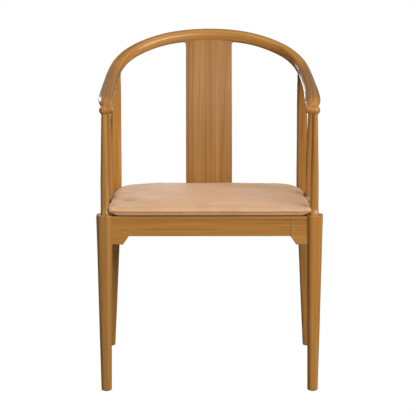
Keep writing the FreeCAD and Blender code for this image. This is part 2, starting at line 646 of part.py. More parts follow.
bb = None
for s in parts.values():
    b = s.optimalBoundingBox(True, False)
    if bb is None:
        bb = [b.XMin, b.XMax, b.YMin, b.YMax, b.ZMin, b.ZMax]
    else:
        bb = [min(bb[0], b.XMin), max(bb[1], b.XMax), min(bb[2], b.YMin),
              max(bb[3], b.YMax), min(bb[4], b.ZMin), max(bb[5], b.ZMax)]
mx, my = (bb[0] + bb[1]) / 2, (bb[2] + bb[3]) / 2
print("box", [round(v, 2) for v in bb], "shift", round(mx, 3), round(my, 3))
for name, s in parts.items():
    if s.ShapeType != "Compound" and len(s.Solids) == 1:
        s = s.Solids[0]
    if s.ShapeType == "Compound" and len(s.Solids) == 1:
        s = s.Solids[0]
    s = s.copy()
    s.translate(V(-mx, -my, -bb[4]))
    b = s.optimalBoundingBox(True, False)
    print("%-26s solids %d valid %s vol %.0f  %s" % (
        name, len(s.Solids), s.isValid(), s.Volume,
        [round(v, 1) for v in (b.XMin, b.XMax, b.YMin, b.YMax, b.ZMin, b.ZMax)]))
    s.exportStep("parts/%s.step" % name)
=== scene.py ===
import math

import bmesh
import bpy
import mathutils
import numpy as np
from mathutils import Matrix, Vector


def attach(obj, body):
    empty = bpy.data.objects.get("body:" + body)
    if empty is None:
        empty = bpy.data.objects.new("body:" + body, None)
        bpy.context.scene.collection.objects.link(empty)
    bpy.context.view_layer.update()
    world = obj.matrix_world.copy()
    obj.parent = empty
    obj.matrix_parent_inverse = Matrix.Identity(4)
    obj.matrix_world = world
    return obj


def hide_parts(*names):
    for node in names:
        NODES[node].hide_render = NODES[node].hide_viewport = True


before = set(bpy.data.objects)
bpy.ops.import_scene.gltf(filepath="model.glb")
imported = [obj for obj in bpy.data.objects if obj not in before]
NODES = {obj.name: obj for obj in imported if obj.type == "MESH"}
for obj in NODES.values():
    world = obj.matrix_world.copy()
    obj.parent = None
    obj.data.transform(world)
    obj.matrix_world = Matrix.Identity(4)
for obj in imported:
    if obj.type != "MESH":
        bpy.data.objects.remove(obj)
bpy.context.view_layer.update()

MM = 0.001
SHIFT_Y = 266.452          # the working frame of the measurements starts at the front of the legs


# ---------------------------------------------------------------------------
# camera, at the photograph's viewing angle
# ---------------------------------------------------------------------------
F_PX = 2091.0
CAM_X, CAM_Y, CAM_Z = -18.9, -4945.0 - SHIFT_Y, 1514.0
PITCH = 12.0
YAW = math.degrees(math.atan2(-6.3, F_PX))
cam_data = bpy.data.cameras.new("camera")
cam_data.sensor_fit = "HORIZONTAL"
cam_data.sensor_width = 36.0
cam_data.lens = F_PX / 416.0 * 36.0
cam_data.clip_end = 60.0
cam = bpy.data.objects.new("camera", cam_data)
bpy.context.scene.collection.objects.link(cam)
cam.location = (CAM_X * MM, CAM_Y * MM, CAM_Z * MM)
cam.rotation_euler = (math.radians(90.0 - PITCH), 0.0, math.radians(YAW))
bpy.context.scene.camera = cam

scene = bpy.context.scene
scene.view_settings.view_transform = "Standard"
scene.view_settings.look = "None"
scene.view_settings.exposure = 0.0
scene.view_settings.gamma = 1.0


# ---------------------------------------------------------------------------
# node helpers
# ---------------------------------------------------------------------------
def srgb(r, g, b):
    def f(c):
        c /= 255.0
        return c / 12.92 if c <= 0.04045 else ((c + 0.055) / 1.055) ** 2.4
    return (f(r), f(g), f(b), 1.0)


class Tree:
    def __init__(self, name):
        self.mat = bpy.data.materials.new(name)
        self.mat.use_nodes = True
        self.nt = self.mat.node_tree
        self.nt.nodes.clear()
        self.out = self.nt.nodes.new("ShaderNodeOutputMaterial")
        self.bsdf = self.nt.nodes.new("ShaderNodeBsdfPrincipled")
        self.nt.links.new(self.bsdf.outputs[0], self.out.inputs[0])

    def node(self, kind, **kw):
        n = self.nt.nodes.new(kind)
        for k, v in kw.items():
            if k.startswith("_"):
                setattr(n, k[1:], v)
        return n

    def put(self, n, key, value):
        s = n.inputs[key]
        if hasattr(value, "is_linked") or isinstance(value, bpy.types.NodeSocket):
            self.nt.links.new(value, s)
        else:
            s.default_value = value
        return s

    def math(self, op, a, b=None, clamp=False):
        n = self.node("ShaderNodeMath", _operation=op, _use_clamp=clamp)
        self.put(n, 0, a)
        if b is not None:
            self.put(n, 1, b)
        return n.outputs[0]

    def mix(self, f, a, b, kind="MIX"):
        n = self.node("ShaderNodeMix", _data_type="RGBA", _blend_type=kind)
        self.put(n, 0, f)
        self.put(n, 6, a)
        self.put(n, 7, b)
        return n.outputs[2]

    def ramp(self, f, stops, mode="LINEAR"):
        n = self.node("ShaderNodeValToRGB")
        n.color_ramp.interpolation = mode
        e = n.color_ramp.elements
        while len(e) > len(stops):
            e.remove(e[-1])
        while len(e) < len(stops):
            e.new(0.5)
        for el, (p, c) in zip(e, stops):
            el.position = p
            el.color = c if len(c) == 4 else (c[0], c[1], c[2], 1.0)
        self.put(n, 0, f)
        return n.outputs[0]

    def grey(self, f, stops):
        return self.ramp(f, [(p, (v, v, v, 1.0)) for p, v in stops])

    def mapping(self, vec, scale=(1, 1, 1), loc=(0, 0, 0), rot=(0, 0, 0)):
        n = self.node("ShaderNodeMapping")
        self.put(n, 0, vec)
        n.inputs["Location"].default_value = loc
        n.inputs["Rotation"].default_value = rot
        n.inputs["Scale"].default_value = scale
        return n.outputs[0]

    def noise(self, vec, scale, detail=3.0, rough=0.5, distort=0.0, w=None):
        n = self.node("ShaderNodeTexNoise", _noise_dimensions="3D" if w is None else "4D")
        self.put(n, "Vector", vec)
        n.inputs["Scale"].default_value = scale
        n.inputs["Detail"].default_value = detail
        n.inputs["Roughness"].default_value = rough
        n.inputs["Distortion"].default_value = distort
        if w is not None:
            n.inputs["W"].default_value = w
        return n.outputs[0]

    def bump(self, height, strength, dist, normal=None):
        n = self.node("ShaderNodeBump")
        self.put(n, "Height", height)
        n.inputs["Strength"].default_value = strength
        n.inputs["Distance"].default_value = dist
        if normal is not None:
            self.put(n, "Normal", normal)
        return n.outputs[0]


# ---------------------------------------------------------------------------
# materials
# ---------------------------------------------------------------------------
def wood(name, along, seed, tone_and_painted_light=1.0, attr=None, ring_rot=(0.0, 0.0, 0.0), streak=1.0, flat=1.0,
         lacquer=True, palette=None, lines=(), deep=1.0):
    """Golden brown wood.  along is the grain axis of the object (0, 1 or 2); with attr the
    grain space comes from a stored attribute whose first component runs along the piece.
    lines are single darker or lighter growth streaks: (across mm, slope, half width mm, colour factor). The colours are
    scaled per piece: partly random variation, partly painted light and shade."""
    t = Tree(name)
    if attr:
        a = t.node("ShaderNodeAttribute", _attribute_name=attr)
        co = a.outputs["Vector"]
    else:
        a = t.node("ShaderNodeTexCoord")
        co = a.outputs["Object"]
        # bring the grain axis to X
        sep = t.node("ShaderNodeSeparateXYZ")
        t.put(sep, 0, co)
        comb = t.node("ShaderNodeCombineXYZ")
        order = {0: (0, 1, 2), 1: (1, 0, 2), 2: (2, 0, 1)}[along]
        for i, k in enumerate(order):
            t.put(comb, i, sep.outputs[k])
        co = comb.outputs[0]
    raw_co = co
    co = t.mapping(co, loc=(seed * 1.37, seed * 0.71, seed * 0.43), rot=ring_rot)

    # slow wander of the grain lines
    wander = t.noise(t.mapping(co, scale=(1.6, 4.0, 4.0)), 1.0, 2.0, 0.5)
    wv = t.node("ShaderNodeVectorMath", _operation="MULTIPLY_ADD")
    cmb = t.node("ShaderNodeCombineXYZ")
    t.put(cmb, 1, wander)
    t.put(cmb, 2, wander)
    t.put(wv, 0, cmb.outputs[0])
    wv.inputs[1].default_value = (0.0, 0.022, 0.016)
    t.put(wv, 2, co)
    gco = wv.outputs[0]

    # growth layers, fine fibre, pores
    layers = t.noise(t.mapping(gco, scale=(0.35, 95.0, 70.0 * deep)), 1.0, 3.0, 0.6)
    broad = t.noise(t.mapping(gco, scale=(0.22, 24.0, 18.0 * deep)), 1.0, 2.0, 0.5)
    fibre = t.noise(t.mapping(gco, scale=(0.7, 330.0, 300.0 * deep)), 1.0, 4.0, 0.62)
    fine = t.noise(t.mapping(gco, scale=(16.0, 1500.0, 1300.0 * deep)), 1.0, 2.0, 0.5)
    pores = t.noise(t.mapping(gco, scale=(46.0, 1700.0, 1500.0 * deep)), 1.0, 2.0, 0.5)
    cloud = t.noise(t.mapping(co, scale=(5.0, 9.0, 9.0)), 1.0, 3.0, 0.55)

    # colours scaled per piece: partly random variation, partly painted light and shade
    p = palette or {
        "dark": srgb(137 * tone_and_painted_light, 86 * tone_and_painted_light, 33 * tone_and_painted_light),
        "mid": srgb(178 * tone_and_painted_light, 123 * tone_and_painted_light, 55 * tone_and_painted_light),
        "light": srgb(203 * tone_and_painted_light, 151 * tone_and_painted_light, 79 * tone_and_painted_light),
        "pore": srgb(116 * tone_and_painted_light, 70 * tone_and_painted_light, 26 * tone_and_painted_light),
    }
    base = t.ramp(layers, [(0.30, p["dark"]), (0.44, p["mid"]), (0.58, p["mid"]), (0.74, p["light"])])
    base = t.mix(0.42 * flat, base, p["mid"])
    b2 = t.ramp(broad, [(0.34, p["dark"]), (0.50, p["mid"]), (0.66, p["light"])])
    base = t.mix(0.38 * streak, base, b2)
    f = t.grey(fibre, [(0.30, 0.74), (0.50, 1.0), (0.72, 1.16)])
    base = t.mix(0.66, base, t.mix(1.0, base, f, "MULTIPLY"))
    g = t.grey(fine, [(0.30, 0.90), (0.70, 1.08)])
    base = t.mix(0.5, base, t.mix(1.0, base, g, "MULTIPLY"))
    bands = t.noise(t.mapping(gco, loc=(0.3, 0.17, 0.4), scale=(0.5, 165.0, 140.0 * deep)), 1.0, 2.0, 0.55)
    bd = t.ramp(bands, [(0.30, (0.70, 0.655, 0.57, 1.0)), (0.46, (1.0, 1.0, 1.0, 1.0)), (0.56, (1.0, 1.0, 1.0, 1.0)),
                        (0.72, (1.18, 1.19, 1.20, 1.0))])
    base = t.mix(0.85 * streak, base, t.mix(1.0, base, bd, "MULTIPLY"))
    c = t.grey(cloud, [(0.28, 0.93), (0.72, 1.05)])
    base = t.mix(1.0, base, c, "MULTIPLY")
    if lines:
        sp = t.node("ShaderNodeSeparateXYZ")
        t.put(sp, 0, raw_co)
        wob = t.noise(t.mapping(raw_co, scale=(9.0, 0.0, 0.0), loc=(seed, 0, 0)), 1.0, 3.0, 0.5)
        for x_mm, slope, wid, tn in lines:
            d_ = t.math("SUBTRACT", sp.outputs[1], t.math("MULTIPLY", sp.outputs[0], slope))
            d_ = t.math("ADD", d_, t.math("MULTIPLY", wob, 0.010))
            d_ = t.math("ABSOLUTE", t.math("SUBTRACT", d_, x_mm * MM + 0.005))
            k_ = t.grey(d_, [(0.0, 1.0), (wid * MM, 0.0)])
            k_ = t.math("MULTIPLY", k_, t.grey(fibre, [(0.3, 0.55), (0.6, 1.0)]))
            base = t.mix(k_, base, t.mix(1.0, base, (tn, tn * 0.985, tn * 0.96, 1.0), "MULTIPLY"))
    pm = t.grey(pores, [(0.60, 0.0), (0.68, 1.0)])
    base = t.mix(t.math("MULTIPLY", pm, 0.17), base, p["pore"])
    t.put(t.bsdf, "Base Color", base)

    rough = t.grey(fibre, [(0.3, 0.42), (0.7, 0.33)])
    rr = t.math("ADD", rough, t.math("MULTIPLY", pm, 0.10))
    t.put(t.bsdf, "Roughness", rr)
    h = t.math("ADD", t.math("MULTIPLY", fibre, 0.6), t.math("MULTIPLY", pm, -0.7))
    t.put(t.bsdf, "Normal", t.bump(h, 0.14, 0.0004))
    t.bsdf.inputs["Specular IOR Level"].default_value = 0.30
    if lacquer:
        t.bsdf.inputs["Coat Weight"].default_value = 0.75
        t.bsdf.inputs["Coat Roughness"].default_value = 0.17
        t.bsdf.inputs["Coat IOR"].default_value = 1.45
    return t.mat


def simple_metal(name, color, rough, scale=900.0):
    t = Tree(name)
    co = t.node("ShaderNodeTexCoord").outputs["Object"]
    n = t.noise(co, scale, 3.0, 0.5)
    t.put(t.bsdf, "Base Color", t.ramp(n, [(0.3, tuple(c * 0.86 for c in color[:3]) + (1,)), (0.7, color)]))
    t.put(t.bsdf, "Roughness", t.grey(n, [(0.3, rough * 0.8), (0.7, rough * 1.25)]))
    t.bsdf.inputs["Metallic"].default_value = 1.0
    t.put(t.bsdf, "Normal", t.bump(n, 0.05, 0.0002))
    return t.mat


def plastic(name, color):
    t = Tree(name)
    co = t.node("ShaderNodeTexCoord").outputs["Object"]
    n = t.noise(co, 1400.0, 2.0, 0.5)
    t.put(t.bsdf, "Base Color", t.ramp(n, [(0.3, color), (0.7, tuple(c * 1.25 for c in color[:3]) + (1,))]))
    t.put(t.bsdf, "Roughness", t.grey(n, [(0.3, 0.5), (0.7, 0.62)]))
    t.put(t.bsdf, "Normal", t.bump(n, 0.15, 0.0002))
    return t.mat


def leather(name, body_col, deep_col, pale_col, seam=False, band=0.0):
    """pale saddle leather: pebbled grain, soft blotches, darker valleys and a drawn seam; with seam, painted shade
    along the seam groove, in the fold creases, below the seam and over the top edge
    """
    t = Tree(name)
    co = t.node("ShaderNodeTexCoord").outputs["Object"]
    warp = t.node("ShaderNodeVectorMath", _operation="MULTIPLY_ADD")
    nz = t.node("ShaderNodeTexNoise", _noise_dimensions="3D")
    t.put(nz, "Vector", co)
    nz.inputs["Scale"].default_value = 260.0
    nz.inputs["Detail"].default_value = 2.0
    t.put(warp, 0, nz.outputs["Color"])
    warp.inputs[1].default_value = (0.0011, 0.0011, 0.0011)
    t.put(warp, 2, co)
    vo = t.node("ShaderNodeTexVoronoi", _feature="DISTANCE_TO_EDGE")
    t.put(vo, "Vector", warp.outputs[0])
    vo.inputs["Scale"].default_value = 620.0
    cells = t.grey(vo.outputs["Distance"], [(0.0, 0.0), (0.16, 0.8), (0.5, 1.0)])
    vo2 = t.node("ShaderNodeTexVoronoi", _feature="DISTANCE_TO_EDGE")
    t.put(vo2, "Vector", warp.outputs[0])
    vo2.inputs["Scale"].default_value = 235.0
    cells2 = t.grey(vo2.outputs["Distance"], [(0.0, 0.0), (0.10, 0.85), (0.5, 1.0)])
    micro = t.noise(co, 2600.0, 3.0, 0.6)
    blotch = t.noise(co, 13.0, 4.0, 0.55)
    blotch2 = t.noise(t.mapping(co, loc=(3.1, 1.7, 0.4)), 46.0, 3.0, 0.6)
    base = t.ramp(blotch, [(0.32, deep_col), (0.50, body_col), (0.70, pale_col)])
    base = t.mix(0.5, body_col, base)
    base = t.mix(0.5, base, t.mix(1.0, base, t.grey(blotch2, [(0.3, 0.90), (0.7, 1.06)]), "MULTIPLY"))
    base = t.mix(0.55, base, t.mix(1.0, base, t.grey(cells, [(0.0, 0.80), (1.0, 1.03)]), "MULTIPLY"))
    base = t.mix(0.30, base, t.mix(1.0, base, t.grey(cells2, [(0.0, 0.86), (1.0, 1.02)]), "MULTIPLY"))
    rough = t.grey(blotch2, [(0.3, 0.46), (0.7, 0.56)])
    hgt = t.math("ADD", t.math("MULTIPLY", cells, 0.55), t.math("MULTIPLY", cells2, 0.45))
    hgt = t.math("ADD", hgt, t.math("MULTIPLY", micro, 0.22))
    if seam:
        a = t.node("ShaderNodeAttribute", _attribute_name="seam")
        s = t.node("ShaderNodeSeparateXYZ")
        t.put(s, 0, a.outputs["Vector"])
        dist = t.math("ABSOLUTE", s.outputs[1])
        # painted shade along the seam groove
        dark = t.grey(dist, [(0.0, 1.0), (0.0006, 0.75), (0.0020, 0.0)])
        base = t.mix(t.math("MULTIPLY", dark, 0.62), base, t.mix(1.0, base, (0.60, 0.50, 0.42, 1.0), "MULTIPLY"))
        # painted shade darkening the fold creases of the top
        crease = t.node("ShaderNodeAttribute", _attribute_name="crease")
        base = t.mix(crease.outputs["Fac"], base, t.mix(1.0, base, (0.52, 0.42, 0.36, 1.0), "MULTIPLY"))
        # painted shade on the band below the seam, which faces down
        under = t.node("ShaderNodeAttribute", _attribute_name="under")
        base = t.mix(under.outputs["Fac"], base, t.mix(1.0, base, (0.80, 0.74, 0.68, 1.0), "MULTIPLY"))
        # painted shade over the rounded top edge of the cushion, toning down its lit roll
        worn = t.node("ShaderNodeAttribute", _attribute_name="worn")
        base = t.mix(worn.outputs["Fac"], base, t.mix(1.0, base, (0.88, 0.885, 0.87, 1.0), "MULTIPLY"))
    if band:
        a = t.node("ShaderNodeAttribute", _attribute_name="band")
        s = t.node("ShaderNodeSeparateXYZ")
        t.put(s, 0, a.outputs["Vector"])
        e_ = t.math("ABSOLUTE", s.outputs[1])
        raw_edge = t.grey(e_, [((band / 2 - 0.7) * MM, 0.0), ((band / 2 - 0.1) * MM, 1.0)])
        base = t.mix(t.math("MULTIPLY", raw_edge, 0.55), base, t.mix(1.0, base, (0.62, 0.48, 0.38, 1.0), "MULTIPLY"))
        line = t.math("ABSOLUTE", t.math("SUBTRACT", e_, (band / 2 - 1.9) * MM))
        groove = t.grey(line, [(0.0, 1.0), (0.0005, 0.0)])
        base = t.mix(t.math("MULTIPLY", groove, 0.35), base, t.mix(1.0, base, (0.68, 0.55, 0.45, 1.0), "MULTIPLY"))
        hgt = t.math("SUBTRACT", hgt, t.math("MULTIPLY", groove, 0.8))
    t.put(t.bsdf, "Base Color", base)
    t.put(t.bsdf, "Roughness", rough)
    t.put(t.bsdf, "Normal", t.bump(hgt, 0.34, 0.00045))
    t.bsdf.inputs["Specular IOR Level"].default_value = 0.42
    t.bsdf.inputs["Sheen Weight"].default_value = 0.10
    t.bsdf.inputs["Sheen Roughness"].default_value = 0.45
    return t.mat


def thread_mat(name, color):
    t = Tree(name)
    co = t.node("ShaderNodeTexCoord").outputs["Object"]
    n = t.noise(co, 3000.0, 2.0, 0.5)
    t.put(t.bsdf, "Base Color", t.ramp(n, [(0.3, tuple(c * 0.75 for c in color[:3]) + (1,)), (0.7, color)]))
    t.put(t.bsdf, "Roughness", t.grey(n, [(0.3, 0.6), (0.7, 0.75)]))
    t.put(t.bsdf, "Normal", t.bump(n, 0.3, 0.0002))
    return t.mat


def foam_mat(name):
    t = Tree(name)
    co = t.node("ShaderNodeTexCoord").outputs["Object"]
    n = t.noise(co, 1500.0, 3.0, 0.6)
    t.put(t.bsdf, "Base Color", t.ramp(n, [(0.3, srgb(214, 204, 178)), (0.7, srgb(236, 229, 208))]))
    t.put(t.bsdf, "Roughness", t.grey(n, [(0.3, 0.85), (0.7, 0.95)]))
    t.put(t.bsdf, "Normal", t.bump(n, 0.5, 0.0006))
    return t.mat


def dress(node, mat):
    o = NODES[node]
    if not o.material_slots:
        o.data.materials.append(mat)
    for s in o.material_slots:
        s.material = mat


# ---------------------------------------------------------------------------
# back and arm rail: swept along the same line as the CAD, so that the grain can follow the bend
# ---------------------------------------------------------------------------
RAIL = [(0.0, 515.0, 818.2, 17.9, 15.9), (60.0, 511.5, 815.6, 18.0, 15.8), (118.0, 500.5, 807.4, 17.6, 15.4),
        (170.0, 479.5, 792.3, 17.0, 15.3), (209.8, 450.0, 773.8, 16.6, 15.0), (232.7, 416.0, 755.0, 16.4, 14.7),
        (242.9, 375.0, 741.0, 16.1, 14.4), (248.2, 300.0, 731.2, 16.2, 14.0), (250.3, 225.0, 725.2, 16.8, 13.6),
        (251.2, 150.0, 720.6, 18.3, 13.0), (250.6, 90.0, 715.8, 19.1, 12.4), (249.6, 58.0, 711.4, 17.7, 11.6),
        (248.8, 42.0, 707.0, 14.0, 9.8), (248.6, 33.0, 702.8, 10.8, 7.6), (248.6, 26.0, 699.2, 9.0, 6.2)]
ROLL_Y, ROLL_Z = 25.0, 698.0


def natural_spline(ts, vs):
    n = len(ts)
    ts, vs = np.asarray(ts, float), np.asarray(vs, float)
    h = np.diff(ts)
    m = np.zeros((n, n))
    r = np.zeros(n)
    m[0, 0] = m[-1, -1] = 1.0
    for i in range(1, n - 1):
        m[i, i - 1], m[i, i], m[i, i + 1] = h[i - 1], 2 * (h[i - 1] + h[i]), h[i]
        r[i] = 6 * ((vs[i + 1] - vs[i]) / h[i] - (vs[i] - vs[i - 1]) / h[i - 1])
    k = np.linalg.solve(m, r)

    def f(t):
        t = np.asarray(t, float)
        i = np.clip(np.searchsorted(ts, t, side="left") - 1, 0, n - 2)
        u, w, hh = t - ts[i], ts[i + 1] - t, h[i]
        return (k[i] * w ** 3 / (6 * hh) + k[i + 1] * u ** 3 / (6 * hh)
                + (vs[i] / hh - k[i] * hh / 6) * w + (vs[i + 1] / hh - k[i + 1] * hh / 6) * u)
    return f


RA = np.array(RAIL)
half = np.r_[0.0, np.cumsum(np.linalg.norm(np.diff(RA[:, :3], axis=0), axis=1))]
TS = np.r_[-half[:0:-1], half]


def both(k, sign):
    return np.r_[sign * RA[:0:-1, k], RA[:, k]]


FX, FY, FZ = natural_spline(TS, both(0, -1)), natural_spline(TS, both(1, 1)), natural_spline(TS, both(2, 1))
FA, FB = natural_spline(TS, both(3, 1)), natural_spline(TS, both(4, 1))
T_END = half[-1]


def line_at(t):
    t = np.asarray(t, float)
    return np.stack([FX(t), FY(t), FZ(t)], -1)


def rail_frame(t):
    e = 0.5
    d = line_at(np.minimum(t + e, TS[-1])) - line_at(np.maximum(t - e, TS[0]))
    d /= np.linalg.norm(d, axis=-1, keepdims=True)
    s = np.cross(d, [0.0, 0.0, 1.0])
    s /= np.linalg.norm(s, axis=-1, keepdims=True)
    return line_at(t), d, s, np.cross(s, d)


def to_world(p):
    """working frame, mm, to the frame of the part, m"""
    p = np.asarray(p, float).copy()
    p[..., 1] -= SHIFT_Y
    return p * MM


def make(name, verts, faces, smooth=True, attrs=None):
    me = bpy.data.meshes.new(name)
    me.from_pydata([tuple(v) for v in verts], [], [tuple(int(i) for i in f) for f in faces])
    me.update()
    if smooth:
        me.shade_smooth()
    for key, val in (attrs or {}).items():
        val = np.asarray(val, float)
        if val.ndim == 1:
            a = me.attributes.new(key, "FLOAT", "POINT")
            a.data.foreach_set("value", val.astype(np.float32))
        else:
            a = me.attributes.new(key, "FLOAT_VECTOR", "POINT")
            a.data.foreach_set("vector", val.astype(np.float32).ravel())
    o = bpy.data.objects.new(name, me)
    scene.collection.objects.link(o)
    return o


def ring_faces(nr, nc, first_cap=True, last_cap=True):
    f = []
    for i in range(nr - 1):
        for j in range(nc):
            k = (j + 1) % nc
            f.append((i * nc + j, (i + 1) * nc + j, (i + 1) * nc + k, i * nc + k))
    if first_cap:
        f.append(tuple(range(nc)))
    if last_cap:
        f.append(tuple((nr - 1) * nc + j for j in range(nc))[::-1])
    return f


def fix_normals(o):
    bm_ = bmesh.new()
    bm_.from_mesh(o.data)
    bmesh.ops.recalc_face_normals(bm_, faces=bm_.faces)
    bm_.to_mesh(o.data)
    bm_.free()


def apply_mods(o):
    dg = bpy.context.evaluated_depsgraph_get()
    me = bpy.data.meshes.new_from_object(o.evaluated_get(dg), preserve_all_data_layers=True, depsgraph=dg)
    old = o.data
    o.modifiers.clear()
    o.data = me
    bpy.data.meshes.remove(old)
    return o


def coords(o):
    v = np.empty(len(o.data.vertices) * 3)
    o.data.vertices.foreach_get("co", v)
    return v.reshape(-1, 3)


def set_coords(o, v):
    o.data.vertices.foreach_set("co", np.ascontiguousarray(v, dtype=np.float64).ravel())
    o.data.update()


def edge_list(o):
    e = np.empty(len(o.data.edges) * 2, dtype=np.int64)
    o.data.edges.foreach_get("vertices", e)
    return e.reshape(-1, 2)


def taubin(v, e, n, lam=0.5, mu=-0.53, mask=None):
    deg = np.bincount(e.ravel(), minlength=len(v)).astype(float)[:, None]
    deg[deg == 0] = 1
    for k in range(n):
        for w in (lam, mu):
            s = np.zeros_like(v)
            for c in range(3):
                s[:, c] = np.bincount(e[:, 0], v[e[:, 1], c], len(v)) + np.bincount(e[:, 1], v[e[:, 0], c], len(v))
            dlt = w * (s / deg - v)
            v = v + (dlt if mask is None else dlt * mask[:, None])
    return v


def drop(o):
    me = o.data
    bpy.data.objects.remove(o)
    bpy.data.meshes.remove(me)


def set_attr(o, key, val):
    if key in o.data.attributes:
        o.data.attributes.remove(o.data.attributes[key])
    val = np.asarray(val, float)
    if val.ndim == 1:
        a = o.data.attributes.new(key, "FLOAT", "POINT")
        a.data.foreach_set("value", val.astype(np.float32))
    else:
        a = o.data.attributes.new(key, "FLOAT_VECTOR", "POINT")
        a.data.foreach_set("vector", val.astype(np.float32).ravel())


N_RING = 64
ang = np.linspace(0, 2 * np.pi, N_RING, endpoint=False)
EXPO = 2.0 / 2.25
CX = np.sign(np.cos(ang)) * np.abs(np.cos(ang)) ** EXPO
CY = np.sign(np.sin(ang)) * np.abs(np.sin(ang)) ** EXPO


def sweep_points(tl):
    c, d, s, u = rail_frame(tl)
    a, b = FA(tl), FB(tl)
    return (c[:, None] + (a[:, None] * CX)[..., None] * s[:, None] + (b[:, None] * CY)[..., None] * u[:, None])


# where the toothed joints lie, as in the CAD
JT = 0.0
while FX(JT) < 181.0:
    JT += 0.5
cj, dj, sj, uj = [q[0] for q in rail_frame(np.array([JT]))]
TOOTH_L, TOOTH_P, LAP = 32.0, 8.0, 26.0
teeth = []
for k in range(-3, 3):
    teeth += [(-TOOTH_L / 2, k * TOOTH_P), (TOOTH_L / 2, (k + 0.5) * TOOTH_P)]
teeth.append((-TOOTH_L / 2, 3 * TOOTH_P))


def tooth_cutter(name, far, gap, flip):
    pts = [(a + gap, b) for a, b in teeth] + [(far, 3 * TOOTH_P), (far, -3 * TOOTH_P)]
    ring_ = [cj + dj * a + uj * b for a, b in pts]
    lo = [p - sj * 45 for p in ring_]
    hi = [p + sj * 45 for p in ring_]
    v = np.array(lo + hi)
    if flip:
        v[:, 0] *= -1
    n = len(pts)
    f = [tuple(range(n)), tuple(range(2 * n - 1, n - 1, -1))]
    f += [(i, n + i, n + (i + 1) % n, (i + 1) % n) for i in range(n)]
    o = make(name, to_world(v), f, smooth=False)
    fix_normals(o)
    return o


def cut(o, cutters):
    for c_ in cutters:
        m = o.modifiers.new("cut", "BOOLEAN")
        m.operation = "DIFFERENCE"
        m.solver = "MANIFOLD"
        m.object = c_
    apply_mods(o)
    for c_ in cutters:
        drop(c_)
    return o


def grain_of(o, tmin, tmax, mirror=False):
    """position of every vertex along, across and up the rail"""
    v = coords(o) / MM
    v[:, 1] += SHIFT_Y
    if mirror:
        v[:, 0] *= -1
    tl = np.arange(tmin, tmax + 0.6, 0.6)
    c, d, s, u = rail_frame(np.clip(tl, TS[0], TS[-1]))
    kd = mathutils.kdtree.KDTree(len(tl))
    for i, p in enumerate(c):
        kd.insert(p, i)
    kd.balance()
    idx = np.array([kd.find(p)[1] for p in v])
    rel = v - c[idx]
    along = tl[idx] + np.einsum("ij,ij->i", rel, d[idx])
    g = np.stack([along, np.einsum("ij,ij->i", rel, s[idx]), np.einsum("ij,ij->i", rel, u[idx])], 1)
    return g * MM


def sphere_mesh(c, r, nu=40, nv=24):
    v = [(c[0] + r, c[1], c[2])]
    for i in range(1, nv):
        a = math.pi * i / nv
        for j in range(nu):
            b = 2 * math.pi * j / nu
            v.append((c[0] + r * math.cos(a), c[1] + r * math.sin(a) * math.cos(b), c[2] + r * math.sin(a) * math.sin(b)))
    v.append((c[0] - r, c[1], c[2]))
    f = [(0, 1 + j, 1 + (j + 1) % nu) for j in range(nu)]
    for i in range(nv - 2):
        for j in range(nu):
            k = (j + 1) % nu
            f.append((1 + i * nu + j, 1 + (i + 1) * nu + j, 1 + (i + 1) * nu + k, 1 + i * nu + k))
    last = len(v) - 1
    f += [(last, 1 + (nv - 2) * nu + (j + 1) % nu, 1 + (nv - 2) * nu + j) for j in range(nu)]
    return np.array(v), f


def roll_mesh(p0, p1, r0, r1, edge=2.6, nu=48):
    """rolled end: a ball at p0, narrowing to a flat end with a rounded edge at p1"""
    p0, p1 = np.array(p0, float), np.array(p1, float)
    ax = (p1 - p0) / np.linalg.norm(p1 - p0)
    ln = np.linalg.norm(p1 - p0)
    e1 = np.cross(ax, (0.0, 0.0, 1.0))
    e1 /= np.linalg.norm(e1)
    e2 = np.cross(ax, e1)
    prof = [(-r0 * math.cos(a), r0 * math.sin(a)) for a in np.linspace(0.12, math.pi / 2, 14)]
    prof += [(t * (ln - edge), r0 + (r1 - r0) * t) for t in np.linspace(0.1, 1.0, 10)]
    prof += [(ln - edge + edge * math.sin(a), r1 - edge + edge * math.cos(a)) for a in np.linspace(0.3, math.pi / 2, 6)]
    prof += [(ln + 0.4, r1 * 0.45), (ln + 0.5, 0.8)]
    v = []
    for s, r in prof:
        for j in range(nu):
            a = 2 * math.pi * j / nu
            v.append(p0 + ax * s + r * (e1 * math.cos(a) + e2 * math.sin(a)))
    return np.array(v), ring_faces(len(prof), nu)


def join(parts):
    v, f, n = [], [], 0
    for a, b in parts:
        v.append(a)
        f += [tuple(i + n for i in q) for q in b]
        n += len(a)
    return np.concatenate(v), f


# centre length
tl = np.linspace(-(JT + LAP), JT + LAP, 261)
P = sweep_points(tl)
crest_o = make("rail_crest", to_world(P.reshape(-1, 3)), ring_faces(len(tl), N_RING))
fix_normals(crest_o)
cut(crest_o, [tooth_cutter("c1", 70.0, -0.12, False), tooth_cutter("c2", 70.0, -0.12, True)])
crest_o.data.set_sharp_from_angle(angle=math.radians(35))
set_attr(crest_o, "grain", grain_of(crest_o, -(JT + LAP + 20), JT + LAP + 20))

# arm with its knuckle: overlapping closed forms, remeshed into one skin and faired
tl = np.linspace(JT - LAP, T_END, 230)
c_, d_, s_, u_ = rail_frame(tl)
a_, b_ = FA(tl), FB(tl)
